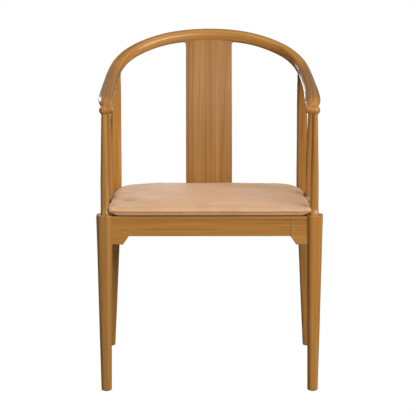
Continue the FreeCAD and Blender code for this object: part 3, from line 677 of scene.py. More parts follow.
# at its end the paddle keeps its inner edge, only the outer one draws in to the ball
inner = np.interp(c_[:, 1], [26.0, 33.0, 42.0, 58.0, 75.0], [6.6, 6.0, 3.6, 0.6, 0.0])
c_ = c_ - inner[:, None] / 2 * np.array([1.0, 0, 0])
a_ = a_ + inner / 2
P = c_[:, None] + (a_[:, None] * CX)[..., None] * s_[:, None] + (b_[:, None] * CY)[..., None] * u_[:, None]
shapes = [(P.reshape(-1, 3), ring_faces(len(tl), N_RING))]
shapes.append(roll_mesh((255.3, 25.0, 698.0), (231.6, 25.4, 701.0), 11.0, 9.9))
V_, F_ = join(shapes)
arm_o = make("rail_arm_right", to_world(V_), F_)
fix_normals(arm_o)
m = arm_o.modifiers.new("skin", "REMESH")
m.mode = "VOXEL"
m.voxel_size = 0.00085
m.use_smooth_shade = True
apply_mods(arm_o)
set_coords(arm_o, taubin(coords(arm_o), edge_list(arm_o), 24))
arm_o.data.shade_smooth()


def copy_mirrored(o, name):
    me = o.data.copy()
    me.name = name
    v = np.empty(len(me.vertices) * 3)
    me.vertices.foreach_get("co", v)
    v = v.reshape(-1, 3)
    v[:, 0] *= -1
    me.vertices.foreach_set("co", v.ravel())
    me.flip_normals()
    me.update()
    q = bpy.data.objects.new(name, me)
    scene.collection.objects.link(q)
    return q


arm_l = copy_mirrored(arm_o, "rail_arm_left")
for o, flip in ((arm_o, False), (arm_l, True)):
    cut(o, [tooth_cutter("c3", -70.0, 0.12, flip)])
    set_attr(o, "grain", grain_of(o, JT - LAP - 20, T_END, mirror=flip))
    v = coords(o)
    print(o.name, len(o.data.vertices), len(o.data.polygons))
    o.data.set_sharp_from_angle(angle=math.radians(40))


# ---------------------------------------------------------------------------
# front legs: leg, ledge, cove and arm post in one skin
# ---------------------------------------------------------------------------
def rr_outline(x0, x1, y0, y1, r, nc=11, ns=5):
    """rounded rectangle, always the same number of points"""
    r = min(r, (x1 - x0) / 2 - 0.3, (y1 - y0) / 2 - 0.3)
    out = []
    for cx, cy, a0, (ex, ey) in ((x1 - r, y0 + r, -90, (x1, y1 - r)), (x1 - r, y1 - r, 0, (x0 + r, y1)),
                                 (x0 + r, y1 - r, 90, (x0, y0 + r)), (x0 + r, y0 + r, 180, (x1 - r, y0))):
        for k in range(nc):
            a = math.radians(a0 + 90.0 * k / (nc - 1))
            out.append((cx + r * math.cos(a), cy + r * math.sin(a)))
        px, py = out[-1]
        for k in range(1, ns):
            out.append((px + (ex - px) * k / ns, py + (ey - py) * k / ns))
    return np.array(out)


LEG_TOP = 442.6
LEG_ROWS = [(2.0, 241.6, 266.8, 3.0, 28.0, 8.0), (60.0, 241.0, 267.9, 2.6, 29.4, 9.0),
            (150.0, 240.1, 269.8, 1.9, 31.6, 10.4), (260.0, 238.8, 271.8, 1.1, 34.0, 11.8),
            (360.0, 237.2, 273.6, 0.4, 36.4, 12.8), (LEG_TOP, 235.9, 275.3, 0.0, 38.0, 13.6)]
POST_ROWS = [(LEG_TOP, 242.2, 265.9, 4.2, 36.2, 9.0), (443.6, 242.8, 265.2, 5.2, 36.0, 8.6),
             (446.0, 243.1, 264.8, 7.2, 36.0, 8.2), (450.0, 243.4, 264.6, 9.4, 36.0, 8.0),
             (456.0, 243.6, 264.4, 11.3, 36.0, 8.0), (468.0, 243.9, 264.4, 12.8, 36.0, 8.0),
             (510.0, 244.5, 264.4, 13.8, 35.6, 8.0), (590.0, 245.9, 262.9, 15.6, 34.6, 7.4),
             (680.0, 247.3, 261.0, 17.6, 33.2, 6.4), (697.0, 247.6, 260.4, 18.0, 32.8, 6.0)]


def monotone(zs, vs, z):
    """piecewise cubic through the rows without overshoot"""
    zs, vs = np.asarray(zs, float), np.asarray(vs, float)
    h, dl = np.diff(zs), np.diff(vs) / np.diff(zs)
    m = np.r_[dl[0], [0 if a * b <= 0 else 2 * a * b / (a + b) for a, b in zip(dl[:-1], dl[1:])], dl[-1]]
    i = np.clip(np.searchsorted(zs, z, side="right") - 1, 0, len(zs) - 2)
    t = (z - zs[i]) / h[i]
    return ((2 * t ** 3 - 3 * t ** 2 + 1) * vs[i] + (t ** 3 - 2 * t ** 2 + t) * h[i] * m[i]
            + (-2 * t ** 3 + 3 * t ** 2) * vs[i + 1] + (t ** 3 - t ** 2) * h[i] * m[i + 1])


def rows_at(rows, z):
    a = np.array(rows)
    return [monotone(a[:, 0], a[:, k], z) for k in range(1, 6)]


def leg_rings():
    out = []
    foot = rows_at(LEG_ROWS, np.array([2.0]))
    x0, x1, y0, y1, r = [float(q[0]) for q in foot]
    for dz, e in ((0.0, 6.0), (0.0, 1.5), (0.12, 0.75), (0.5, 0.25), (1.1, 0.03)):
        out.append((2.0 + dz, x0 + e, x1 - e, y0 + e, y1 - e, max(r - e, 1.0)))
    zs = np.r_[np.linspace(4.0, 430.0, 42), 436.0, 439.5]
    for z, *q in zip(zs, *rows_at(LEG_ROWS, zs)):
        out.append((z,) + tuple(q))
    x0, x1, y0, y1, r = [float(q[0]) for q in rows_at(LEG_ROWS, np.array([LEG_TOP]))]
    for a in np.radians([0, 18, 36, 54, 72, 90]):
        e = 1.7 * (1 - math.cos(a))
        out.append((LEG_TOP - 1.7 * (1 - math.sin(a)), x0 + e, x1 - e, y0 + e, y1 - e, r - e))
    # flat of the ledge, then the foot of the post
    b = POST_ROWS[0]
    lx0, lx1, ly0, ly1, lr = x0 + 1.7, x1 - 1.7, y0 + 1.7, y1 - 1.7, r - 1.7
    for w in (0.25, 0.6, 0.92):
        out.append((LEG_TOP, lx0 + (b[1] - lx0) * w, lx1 + (b[2] - lx1) * w, ly0 + (b[3] - ly0) * w,
                    ly1 + (b[4] - ly1) * w, lr + (b[5] - lr) * w))
    zs = np.r_[LEG_TOP, 442.9, 443.3, 444.0, 445.0, 446.4, 448.2, 450.5, 453.0, 456.0, 460.0, 465.0,
               np.linspace(472.0, 697.0, 26)]
    for z, *q in zip(zs, *rows_at(POST_ROWS, zs)):
        out.append((z,) + tuple(q))
    z, x0, x1, y0, y1, r = out[-1]
    out.append((z + 0.6, x0 + 1, x1 - 1, y0 + 1, y1 - 1, r - 1))
    return out


rings = leg_rings()
pts = []
for z, x0, x1, y0, y1, r in rings:
    o2 = rr_outline(x0, x1, y0, y1, r)
    pts.append(np.c_[o2, np.full(len(o2), z)])
pts = np.array(pts)
# the leg keeps the housings of its rails closed: rails end on its skin
leg_r = make("front_leg_right", to_world(pts.reshape(-1, 3)), ring_faces(len(pts), pts.shape[1]))
fix_normals(leg_r)
leg_r.data.set_sharp_from_angle(angle=math.radians(50))
leg_l = copy_mirrored(leg_r, "front_leg_left")
leg_l.data.set_sharp_from_angle(angle=math.radians(50))

# ---------------------------------------------------------------------------
# cushion
# ---------------------------------------------------------------------------
SEAT_Y0, SEAT_Z, SLOPE = 8.5, 440.3, math.radians(2.0)
OUT = [(0.0, 1.6), (110.0, 1.5), (196.0, 1.7), (228.0, 2.0), (238.5, 3.0), (244.6, 5.0), (247.4, 8.0), (246.8, 10.8),
       (243.9, 14.0), (243.2, 19.0), (243.2, 34.0), (245.4, 52.0), (246.0, 76.0), (245.4, 104.0), (244.4, 132.0),
       (243.4, 160.0), (241.6, 184.0), (241.2, 200.0), (242.4, 216.0), (242.6, 236.0), (240.6, 264.0), (237.0, 300.0),
       (229.8, 333.0), (218.5, 355.0), (198.0, 374.5), (168.0, 386.0), (135.0, 390.3), (100.0, 392.0), (50.0, 392.6),
       (0.0, 392.8)]


def seat_place(p):
    """seat plane coordinates (x, y, height) to the working frame"""
    p = np.asarray(p, float)
    y, h = p[..., 1] - SEAT_Y0, p[..., 2]
    return np.stack([p[..., 0], SEAT_Y0 + y * math.cos(SLOPE) + h * math.sin(SLOPE),
                     SEAT_Z - y * math.sin(SLOPE) + h * math.cos(SLOPE)], -1)


def outline_points(n):
    a = np.array(OUT)
    full = np.r_[a, np.c_[-a[-2:0:-1, 0], a[-2:0:-1, 1]]]
    t = np.r_[0, np.cumsum(np.linalg.norm(np.diff(np.r_[full, full[:1]], axis=0), axis=1))]
    # periodic cubic through the points: repeat them on both sides of one turn
    m = len(full)
    big = np.r_[full, full, full]
    tt = np.r_[t[:-1] - t[-1], t[:-1], t[:-1] + t[-1]]
    fx, fy = natural_spline(tt, big[:, 0]), natural_spline(tt, big[:, 1])
    s = np.linspace(0, t[-1], n, endpoint=False)
    dense = np.linspace(0, t[-1], 6000, endpoint=False)
    q = np.c_[fx(dense), fy(dense)]
    l = np.r_[0, np.cumsum(np.linalg.norm(np.diff(np.r_[q, q[:1]], axis=0), axis=1))]
    want = np.linspace(0, l[-1], n, endpoint=False)
    sp = np.interp(want, l, np.r_[dense, t[-1]])
    return np.c_[fx(sp), fy(sp)], want, l[-1]


NP_ = 420
OP, ARC, PERIM = outline_points(NP_)
SEAM_H = 10.2
IN_MAX = 170.0


def edge_rise(i):
    """height of the top without its crown, from the inset"""
    return 12.2 + 8.7 * (1.0 - np.exp(-i / 5.0))


# (height, inset) from the middle of the underside, round the edge, to the middle of the top
PROFILE = [(0.0, i) for i in (188.0, 178.0, 165.0, 140.0, 115.0, 92.0, 72.0, 56.0, 44.0, 34.0, 26.0, 20.0)]
PROFILE += [(0.05, 16.0), (0.2, 12.8), (0.5, 10.0), (1.0, 7.6), (1.7, 5.5), (2.6, 3.8), (3.6, 2.5), (4.7, 1.7), (5.9, 1.2),
            (7.1, 0.95), (8.1, 0.95), (8.9, 1.15), (9.5, 1.6), (9.95, 2.3), (SEAM_H, 2.9), (10.45, 1.9), (10.9, 0.95),
            (11.5, 0.35), (12.4, 0.05), (13.4, 0.05), (14.5, 0.45), (15.6, 1.15)]
for i in [2.1, 3.2, 4.5, 6.0, 7.7, 9.6, 11.8, 14.0, 16.3, 18.8] + [21.5 + 3.1 * k for k in range(36)] + [
          136.0, 144.0, 153.0, 165.0, 178.0, 188.0]:
    w = min(1.0, (i - 1.15) / 5.0)
    PROFILE.append(((1 - w) * (15.6 + (i - 1.15) * 0.95) + w * float(edge_rise(i)), i))
HS = np.array([h for h, _ in PROFILE])
IS = np.array([i for _, i in PROFILE])
K_SEAM = list(HS).index(SEAM_H)


def ring_at(i, h):
    kx, ky = 1.0 - i / 243.0, 1.0 - i / 196.0
    return np.c_[OP[:, 0] * kx, 197.0 + (OP[:, 1] - 197.0) * ky, np.full(NP_, h)]


SP = np.array([ring_at(i, h) for h, i in PROFILE])          # seat coordinates, rings x points x 3
NR = len(PROFILE)
TOP = (np.arange(NR) > K_SEAM)[:, None] * np.ones(NP_)[None]


def crown_field(step=4.0, turns=900):
    """height of a skin blown up over the outline: zero at the edge, 1 at its highest"""
    gx = np.arange(-252.0, 252.1, step)
    gy = np.arange(-4.0, 400.1, step)
    X, Y = np.meshgrid(gx, gy)
    # inside test by the ring index of each cell: scale that puts the cell on the outline
    a = np.arctan2(Y - 197.0, X)
    oa = np.arctan2(OP[:, 1] - 197.0, OP[:, 0])
    o_ = np.argsort(oa)
    rr_ = np.hypot(OP[:, 0], OP[:, 1] - 197.0)
    lim = np.interp(a, oa[o_], rr_[o_], period=2 * np.pi)
    ins = np.hypot(X, Y - 197.0) < lim - 1.0
    u = np.zeros_like(X)
    par = (np.add.outer(np.arange(len(gy)), np.arange(len(gx))) % 2).astype(bool)
    for k in range(turns):
        for q in (par, ~par):
            nb = np.zeros_like(u)
            nb[1:-1, 1:-1] = (u[:-2, 1:-1] + u[2:, 1:-1] + u[1:-1, :-2] + u[1:-1, 2:] + 1.0) / 4
            upd = q & ins
            u[upd] += 1.9 * (nb[upd] - u[upd])
    u = np.maximum(u / u.max(), 0)

    def f(p_):
        fx = np.clip((p_[:, 0] - gx[0]) / step, 0, len(gx) - 1.001)
        fy = np.clip((p_[:, 1] - gy[0]) / step, 0, len(gy) - 1.001)
        i_, j_ = fx.astype(int), fy.astype(int)
        a_, b_ = fx - i_, fy - j_
        return ((u[j_, i_] * (1 - a_) + u[j_, i_ + 1] * a_) * (1 - b_) + (u[j_ + 1, i_] * (1 - a_) + u[j_ + 1, i_ + 1] * a_) * b_)
    return f


CROWN = crown_field()


def gauss(d, w):
    return np.exp(-(d / w) ** 2)


def along_path(p, path):
    """distance to a path in plan, signed side, and place along it from 0 to 1"""
    path = np.array(path, float)
    best = np.full(p.shape[0], 1e9)
    side = np.zeros(p.shape[0])
    place = np.zeros(p.shape[0])
    seg = np.linalg.norm(np.diff(path, axis=0), axis=1)
    total = np.r_[0, np.cumsum(seg)]
    for k in range(len(path) - 1):
        a, b = path[k], path[k + 1]
        ab = b - a
        t = np.clip(((p - a) @ ab) / (ab @ ab), 0, 1)
        q = a + t[:, None] * ab
        dd = np.linalg.norm(p - q, axis=1)
        sg = np.sign(ab[0] * (p[:, 1] - a[1]) - ab[1] * (p[:, 0] - a[0]))
        m = dd < best
        best[m], side[m], place[m] = dd[m], sg[m], (total[k] + t[m] * seg[k]) / total[-1]
    return best, side, place


def smooth_path(path, n=60):
    path = np.array(path, float)
    t = np.r_[0, np.cumsum(np.linalg.norm(np.diff(path, axis=0), axis=1))]
    fx, fy = natural_spline(t, path[:, 0]), natural_spline(t, path[:, 1])
    s = np.linspace(0, t[-1], n)
    return np.c_[fx(s), fy(s)]


# folds of the worn leather, with painted shade in their creases: path in plan, depth, half width, lip beyond it, fade
# at both ends
FOLDS = [
    ([(40, 296), (80, 289), (120, 274), (155, 256), (184, 238), (206, 221), (223, 204), (235, 187), (242, 168), (245, 148)],
     5.4, 11.0, 3.8, 1.5, 0.30, 0.12),
    ([(214, 302), (227, 266), (236, 234), (241, 208)], 2.0, 4.0, 2.6, 0.6, 0.35, 0.20),
    ([(214, 148), (229, 122), (239, 96), (244, 72)], 1.2, 5.0, 3.4, 0.5, 0.45, 0.10),
    ([(-245.5, 122), (-236, 110), (-224, 112), (-212, 108), (-198, 94), (-172, 84)], 4.4, 4.5, 9.0, 1.6, 0.02, 0.60),
    ([(-241, 240), (-233, 232), (-224.5, 221), (-206, 202), (-180, 192)], 3.8, 4.5, 9.0, 1.4, 0.02, 0.65),
    ([(-236, 316), (-222, 300), (-205, 286), (-180, 280)], 1.2, 4.5, 6.0, 0.5, 0.05, 0.6),
    ([(-120, 392), (-112, 376), (-96, 362), (-74, 356)], 0.8, 5.0, 6.0, 0.3, 0.05, 0.6),
    ([(150, 390), (146, 372), (132, 356)], 0.8, 5.0, 6.0, 0.3, 0.05, 0.6),
]


def fold_terms(p, path, w0, w1, f0, f1):
    """distance to the fold, side, half width there, and how far it has faded in"""
    d_, sg, pl = along_path(p, smooth_path(path))
    fade = np.clip(pl / max(f0, 1e-3), 0, 1) * np.clip((1 - pl) / max(f1, 1e-3), 0, 1)
    return d_, sg, w0 + (w1 - w0) * pl, fade * fade * (3 - 2 * fade)


def fold_lift(p):
    """the leather in front bulges and drops steeply into the fold, behind it rises slowly"""
    dz = np.zeros(len(p))
    for path, depth, w0, w1, lip, f0, f1 in FOLDS:
        d_, sg, w, fade = fold_terms(p, path, w0, w1, f0, f1)
        behind = -depth * np.exp(-(d_ / (2.0 * w)) ** 1.5)
        front = -depth * gauss(d_, 0.8 * w) + lip * gauss(d_ - 2.3 * w, 1.9 * w)
        dz += fade * np.where(sg > 0, behind, front)
    return dz


# painted shade in the fold creases, spreading further on their far side
def crease_shade(p):
    c = np.zeros(len(p))
    for path, depth, w0, w1, lip, f0, f1 in FOLDS:
        d_, sg, w, fade = fold_terms(p, path, w0, w1, f0, f1)
        near = np.where(sg > 0, gauss(d_, 0.95 * w), gauss(d_, 0.55 * w))
        c = np.maximum(c, min(0.85, depth / 5.0) * fade * near)
    return c


rng = np.random.default_rng(7)
WAVES = [(rng.uniform(-0.02, 0.02), rng.uniform(-0.03, 0.03), rng.uniform(0, 6.3), rng.uniform(0.10, 0.28)) for _ in range(14)]


def wander_lift(p):
    z = np.zeros(len(p))
    for a, b, ph, am in WAVES:
        z += am * np.sin(p[:, 0] * a * 2.2 + p[:, 1] * b * 2.2 + ph)
    return z


def split_caps(o):
    """triangles instead of the many-sided caps"""
    bm_ = bmesh.new()
    bm_.from_mesh(o.data)
    big_ = [f for f in bm_.faces if len(f.verts) > 8]
    bmesh.ops.triangulate(bm_, faces=big_, quad_method="BEAUTY", ngon_method="BEAUTY")
    bm_.to_mesh(o.data)
    bm_.free()


def simulate_puff(sp):
    """swell a coarse copy of the cushion by inner pressure, give back how far each place moved"""
    body_v = np.concatenate([seat_place(sp[k]) for k in range(NR)])
    o = make("puff", to_world(body_v), ring_faces(NR, NP_))
    fix_normals(o)
    m_ = o.modifiers.new("even", "REMESH")
    m_.mode = "VOXEL"
    m_.voxel_size = 0.006
    apply_mods(o)
    start = coords(o).copy()
    cl = o.modifiers.new("cloth", "CLOTH")
    st = cl.settings
    st.quality = 5
    st.mass = 0.3
    st.use_pressure = True
    st.uniform_pressure_force = 4.0
    st.tension_stiffness = st.compression_stiffness = 18.0
    st.shear_stiffness = 8.0
    st.bending_stiffness = 2.5
    st.effector_weights.gravity = 0.0
    cl.collision_settings.use_collision = False
    cl.collision_settings.use_self_collision = False
    cl.point_cache.frame_start = 1
    cl.point_cache.frame_end = 20
    for fr_ in range(1, 21):
        scene.frame_set(fr_)
    apply_mods(o)
    scene.frame_set(1)
    move = coords(o) - start
    drop(o)
    print("cushion swells by up to %.1f mm" % (np.linalg.norm(move, axis=1).max() / MM))
    return start, move


def transfer(start, move, where, k=8):
    kd = mathutils.kdtree.KDTree(len(start))
    for i, p in enumerate(start):
        kd.insert(p, i)
    kd.balance()
    out = np.zeros_like(where)
    for i, p in enumerate(where):
        near = kd.find_n(p, k)
        w = np.array([1.0 / (n_[2] + 0.002) ** 2 for n_ in near])
        out[i] = (move[[n_[1] for n_ in near]] * w[:, None]).sum(0) / w.sum()
    return out


flat_p = SP.reshape(-1, 3).copy()
rise = np.clip((np.repeat(IS, NP_) - 1.5) / 9.0, 0, 1)
rise = rise * rise * (3 - 2 * rise)
flat_p[:, 2] += TOP.reshape(-1) * rise * 7.3 * CROWN(flat_p[:, :2]) ** 0.55
start, move = simulate_puff(SP)
mv = transfer(start, move, to_world(seat_place(flat_p)))
# the cap keeps the pad in the space of its solid; only the unevenness of the swelling is kept
hgt = flat_p[:, 2]
mv_h = mv[:, 2] / MM
plan_top = (TOP.reshape(-1) > 0)
base_line = np.median(mv_h[plan_top])
extra = np.clip((mv_h - base_line) * 0.14, -1.6, 0.9)
edge = np.clip(np.repeat(IS, NP_) / 30.0, 0, 1)
flat_p[:, 2] += extra * plan_top * edge

top_w = TOP.reshape(-1) * np.clip((np.repeat(HS, NP_) - 11.5) / 4.0, 0, 1)
flat_p[:, 2] += (fold_lift(flat_p[:, :2]) + wander_lift(flat_p[:, :2])) * top_w
# where a fold reaches the edge it pinches the side in a little
for (px1, py1), am in (((-244.5, 122.0), 2.4), ((-240.0, 241.0), 1.8)):
    dd = np.hypot(flat_p[:, 0] - px1, flat_p[:, 1] - py1)
    flat_p[:, 0] -= np.sign(px1) * am * gauss(dd, 12.0) * np.clip((np.repeat(HS, NP_) - 10.5) / 3.0, 0, 1)
# plump front corners, squeezed up in front of the posts, their lip clear of the ledge
cw = np.clip((np.abs(flat_p[:, 0]) - 222.0) / 20.0, 0, 1) * np.clip((30.0 - flat_p[:, 1]) / 18.0, 0, 1)
cw = cw * cw * (3 - 2 * cw)
hh = flat_p[:, 2]
low_ = hh * (1 - cw) + cw * (7.6 + 0.25 * hh)
high_ = SEAM_H + (hh - SEAM_H) * (1 + 0.50 * cw)
flat_p[:, 2] = np.where(hh <= SEAM_H, low_, high_)
# the seam pulls in softly between its corners, as sewn leather does
wob = 0.35 * np.sin(np.tile(ARC, NR) / 23.0) + 0.25 * np.sin(np.tile(ARC, NR) / 9.3 + 1.1)
flat_p[:, 2] += wob * gauss(np.repeat(HS, NP_) - SEAM_H, 2.4)
W = seat_place(flat_p)
# step over the ledge of the front legs
near_leg = (np.abs(W[:, 0]) > 232.0) & (W[:, 1] < 42.0)
lift = np.clip((np.abs(W[:, 0]) - 232.0) / 3.0, 0, 1) * np.clip((42.0 - W[:, 1]) / 3.0, 0, 1)
low = LEG_TOP + 0.55
W[:, 2] = np.where(near_leg & (W[:, 2] < low), W[:, 2] * (1 - lift) + low * lift, W[:, 2])
faces = ring_faces(NR, NP_)
seam_d = np.repeat(HS, NP_) - SEAM_H
cush = make("cushion_leather", to_world(W), faces, attrs={
    "seam": np.stack([np.tile(ARC, NR), seam_d, np.repeat(IS, NP_)], 1) * MM,
    # painted shade in the fold creases
    "crease": crease_shade(SP.reshape(-1, 3)[:, :2]) * top_w,
    # painted shade on the band below the seam
    "under": np.clip(-seam_d / 1.5, 0, 1),
    # painted shade on the rounded top edge
    "worn": np.clip(1.0 - (np.repeat(IS, NP_) - 4.0) / 26.0, 0, 1) * (seam_d > 0)})
fix_normals(cush)
split_caps(cush)
sub = cush.modifiers.new("fine", "SUBSURF")
sub.levels = sub.render_levels = 1
apply_mods(cush)
cush.data.shade_smooth()

# foam inside the cover, a little smaller all round
foam_rows = [(2.0, 60.0), (2.0, 20.0), (3.2, 11.0), (4.8, 7.0), (6.6, 5.4), (8.6, 5.2), (10.2, 6.2), (11.6, 9.0), (12.8, 14.0),
             (14.0, 30.0), (15.5, 60.0), (17.5, 110.0)]
fp = np.array([ring_at(i, h) for h, i in foam_rows])
fw = seat_place(fp.reshape(-1, 3))
near = (np.abs(fw[:, 0]) > 228) & (fw[:, 1] < 44)
fw[:, 2] = np.where(near, np.maximum(fw[:, 2], LEG_TOP + 2.4), fw[:, 2])
foam = make("cushion_foam", to_world(fw), ring_faces(len(foam_rows), NP_))
fix_normals(foam)

# ---------------------------------------------------------------------------
# straps round the side posts, with their press studs
# ---------------------------------------------------------------------------
def seat_z(y):
    return SEAT_Z - math.tan(SLOPE) * (y - SEAT_Y0)


def band_mesh(name, line, width, thick, close=False):
    """flat leather band along a plan line: rounded edges, line = (x, y, z of the band's middle)"""
    line = np.array(line, float)
    t = np.gradient(line, axis=0)
    t[:, 2] = 0
    t /= np.linalg.norm(t, axis=1, keepdims=True)
    nrm = np.stack([t[:, 1], -t[:, 0], np.zeros(len(t))], 1)
    sec = []
    e = 0.45
    for a, b in ((-1, -1), (1, -1), (1, 1), (-1, 1)):
        for k in range(5):
            ph = math.radians({(-1, -1): 180, (1, -1): 270, (1, 1): 0, (-1, 1): 90}[(a, b)] + 22.5 * k)
            sec.append((a * (thick / 2 - e) + e * math.cos(ph), b * (width / 2 - e) + e * math.sin(ph)))
    sec = np.array(sec)
    fine = []
    for k in range(len(sec)):
        p, q = sec[k], sec[(k + 1) % len(sec)]
        steps = max(1, int(np.linalg.norm(q - p) / 1.2))
        for s2 in range(steps):
            fine.append(p + (q - p) * s2 / steps)
    sec = np.array(fine)
    v = (line[:, None] + nrm[:, None] * sec[None, :, :1] + np.array([0, 0, 1.0]) * sec[None, :, 1:])
    l = np.r_[0, np.cumsum(np.linalg.norm(np.diff(line, axis=0), axis=1))]
    at = np.stack([np.repeat(l[:, None], len(sec), 1), np.repeat(sec[None, :, 1], len(line), 0),
                   np.repeat(sec[None, :, 0], len(line), 0)], -1).reshape(-1, 3) * MM
    o = make(name, to_world(v.reshape(-1, 3)), ring_faces(len(line), len(sec)), attrs={"band": at})
    fix_normals(o)
    o.data.set_sharp_from_angle(angle=math.radians(60))
    return o


MP_Y = 200.0
zb = seat_z(MP_Y) + 6.0 + 5.2 + 1.4
yy0, yy1, xx1 = MP_Y - 11.8, MP_Y + 11.8, 261.8
path = [(236.8, yy0 + 0.6)] + [(x, yy0) for x in np.linspace(238.5, xx1 - 10.2, 7)]
path += [(xx1 - 10.2 + 10.2 * math.sin(a), yy0 + 10.2 - 10.2 * math.cos(a)) for a in np.linspace(0, math.pi / 2, 9)[1:]]
path += [(xx1, MP_Y)]
path += [(xx1 - 10.2 + 10.2 * math.cos(a), yy1 - 10.2 + 10.2 * math.sin(a)) for a in np.linspace(0, math.pi / 2, 9)[:-1]]
path += [(x, yy1) for x in np.linspace(xx1 - 10.2, 238.5, 7)] + [(236.8, yy1 - 0.6)]
path = np.array(path)
u_ = np.linspace(0, 1, len(path))
strap_r = band_mesh("strap_right", np.c_[path, zb + 0.5 * np.sin(u_ * 3.1)], 10.4, 1.7)
flap = np.array([(x, yy1 + 1.75 + 0.12 * math.sin(x)) for x in np.linspace(251.0, 237.6, 14)])
flap_r = band_mesh("strap_flap_right", np.c_[flap, zb + 6.4 * (251.0 - flap[:, 0]) / 13.0], 9.4, 1.5)
strap_l = copy_mirrored(strap_r, "strap_left")
flap_l = copy_mirrored(flap_r, "strap_flap_left")


def lathe(name, prof_, origin, n=40):
    """turned form about +Y: (radius, distance out)"""
    v = []
    for r_, y_ in prof_:
        for j in range(n):
            a = 2 * math.pi * j / n
            v.append((origin[0] + r_ * math.cos(a), origin[1] + y_, origin[2] + r_ * math.sin(a)))
    return np.array(v), ring_faces(len(prof_), n)


stud_prof = [(0.3, -0.4), (3.2, -0.4), (4.0, -0.3), (4.35, 0.0), (4.3, 0.35), (3.95, 0.55), (3.7, 0.5), (3.5, 0.62),
             (3.2, 0.95), (2.6, 1.28), (1.8, 1.52), (0.9, 1.64), (0.15, 1.67)]
st_v, st_f = lathe("stud", stud_prof, (241.4, yy1 + 2.6, zb + 4.8))
stud_r = make("stud_right", to_world(st_v), st_f)
fix_normals(stud_r)
stud_r.data.set_sharp_from_angle(angle=math.radians(50))
stud_l = copy_mirrored(stud_r, "stud_left")
# the inner half of the press stud, on the side of the leather that faces the seat
inner_prof = [(0.3, 0.0), (3.5, 0.0), (3.5, -2.1), (3.35, -2.45), (2.9, -2.75), (2.1, -2.98), (1.1, -3.10), (0.15, -3.13)]
si_v, si_f = lathe("stud inner", inner_prof, (241.4, yy1 + 1.0, zb + 5.2))
stud_ri = make("stud_inner_right", to_world(si_v), si_f)
fix_normals(stud_ri)
stud_ri.data.set_sharp_from_angle(angle=math.radians(50))
stud_li = copy_mirrored(stud_ri, "stud_inner_left")


# ---------------------------------------------------------------------------
# stitches: short raised threads
# ---------------------------------------------------------------------------
def stitches(name, centres, tangents, normals, length=3.2, width=0.75, high=0.5):
    nu, nv = 8, 7
    v, f = [], []
    for c, t_, n_ in zip(centres, tangents, normals):
        b_ = np.cross(t_, n_)
        base_i = len(v)
        for i in range(1, nv):
            a = math.pi * i / nv
            for j in range(nu):
                w = 2 * math.pi * j / nu
                v.append(c + t_ * (-length / 2 * math.cos(a)) + b_ * (width / 2 * math.sin(a) ** 0.6 * math.cos(w))
                         + n_ * (high * math.sin(a) ** 0.8 * math.sin(w)))
        for i in range(nv - 2):
            for j in range(nu):
                k = (j + 1) % nu
                f.append((base_i + i * nu + j, base_i + (i + 1) * nu + j, base_i + (i + 1) * nu + k, base_i + i * nu + k))
        f.append(tuple(base_i + j for j in range(nu)))
        f.append(tuple(base_i + (nv - 2) * nu + j for j in range(nu))[::-1])
    o = make(name, to_world(np.array(v)), f)
    fix_normals(o)
    return o


# along the seam of the cushion, just above the groove
Wr = W.reshape(NR, NP_, 3)
k_st = int(np.argmin(np.abs(HS - 13.4) + (np.arange(NR) < K_SEAM) * 99))
line = Wr[k_st]
up = Wr[k_st + 1] - Wr[k_st - 1]
tang = np.roll(line, -1, 0) - np.roll(line, 1, 0)
tang /= np.linalg.norm(tang, axis=1, keepdims=True)
nor = np.cross(tang, up)
nor /= np.linalg.norm(nor, axis=1, keepdims=True)
if (nor[0] @ (line[0] - np.array([0, 197.0, line[0][2]]))) < 0:
    nor = -nor
seg = np.r_[0, np.cumsum(np.linalg.norm(np.diff(np.r_[line, line[:1]], axis=0), axis=1))]
count = int(seg[-1] / 4.7)
want = np.linspace(0, seg[-1], count, endpoint=False)
pick = lambda arr: np.stack([np.interp(want, seg, np.r_[arr[:, k], arr[:1, k]]) for k in range(3)], 1)
sc, stn, snn = pick(line), pick(tang), pick(nor)
stn /= np.linalg.norm(stn, axis=1, keepdims=True)
snn -= stn * np.einsum("ij,ij->i", snn, stn)[:, None]
snn /= np.linalg.norm(snn, axis=1, keepdims=True)
seam_thread = stitches("cushion_stitches", sc - snn * 0.10, stn, snn, 3.3, 0.8, 0.42)

# along both edges of the strap
def strap_thread(name, plan, zmid, half_w):
    l = np.r_[0, np.cumsum(np.linalg.norm(np.diff(plan, axis=0), axis=1))]
    want_ = np.arange(2.2, l[-1] - 2.0, 3.9)
    x = np.interp(want_, l, plan[:, 0])
    y = np.interp(want_, l, plan[:, 1])
    tx = np.interp(want_ + 0.5, l, plan[:, 0]) - np.interp(want_ - 0.5, l, plan[:, 0])
    ty = np.interp(want_ + 0.5, l, plan[:, 1]) - np.interp(want_ - 0.5, l, plan[:, 1])
    t_ = np.stack([tx, ty, 0 * tx], 1)
    t_ /= np.linalg.norm(t_, axis=1, keepdims=True)
    n_ = np.stack([t_[:, 1], -t_[:, 0], 0 * tx], 1)
    cs, ts_, ns = [], [], []
    for dz in (-half_w + 1.9, half_w - 1.9):
        cs.append(np.stack([x, y, np.full(len(x), zmid + dz)], 1) + n_ * 0.80)
        ts_.append(t_)
        ns.append(n_)
    return stitches(name, np.concatenate(cs), np.concatenate(ts_), np.concatenate(ns), 2.6, 0.65, 0.30)


thread_r = strap_thread("strap_stitches_right", path, zb + 0.25, 5.2)
thread_l = copy_mirrored(thread_r, "strap_stitches_left")

# ---------------------------------------------------------------------------
# finishes
# ---------------------------------------------------------------------------
def finish(o, mat, body, slot, *nodes):
    o.data.materials.clear()
    o.data.materials.append(mat)
    if nodes:
        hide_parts(*nodes)
    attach(o, body)


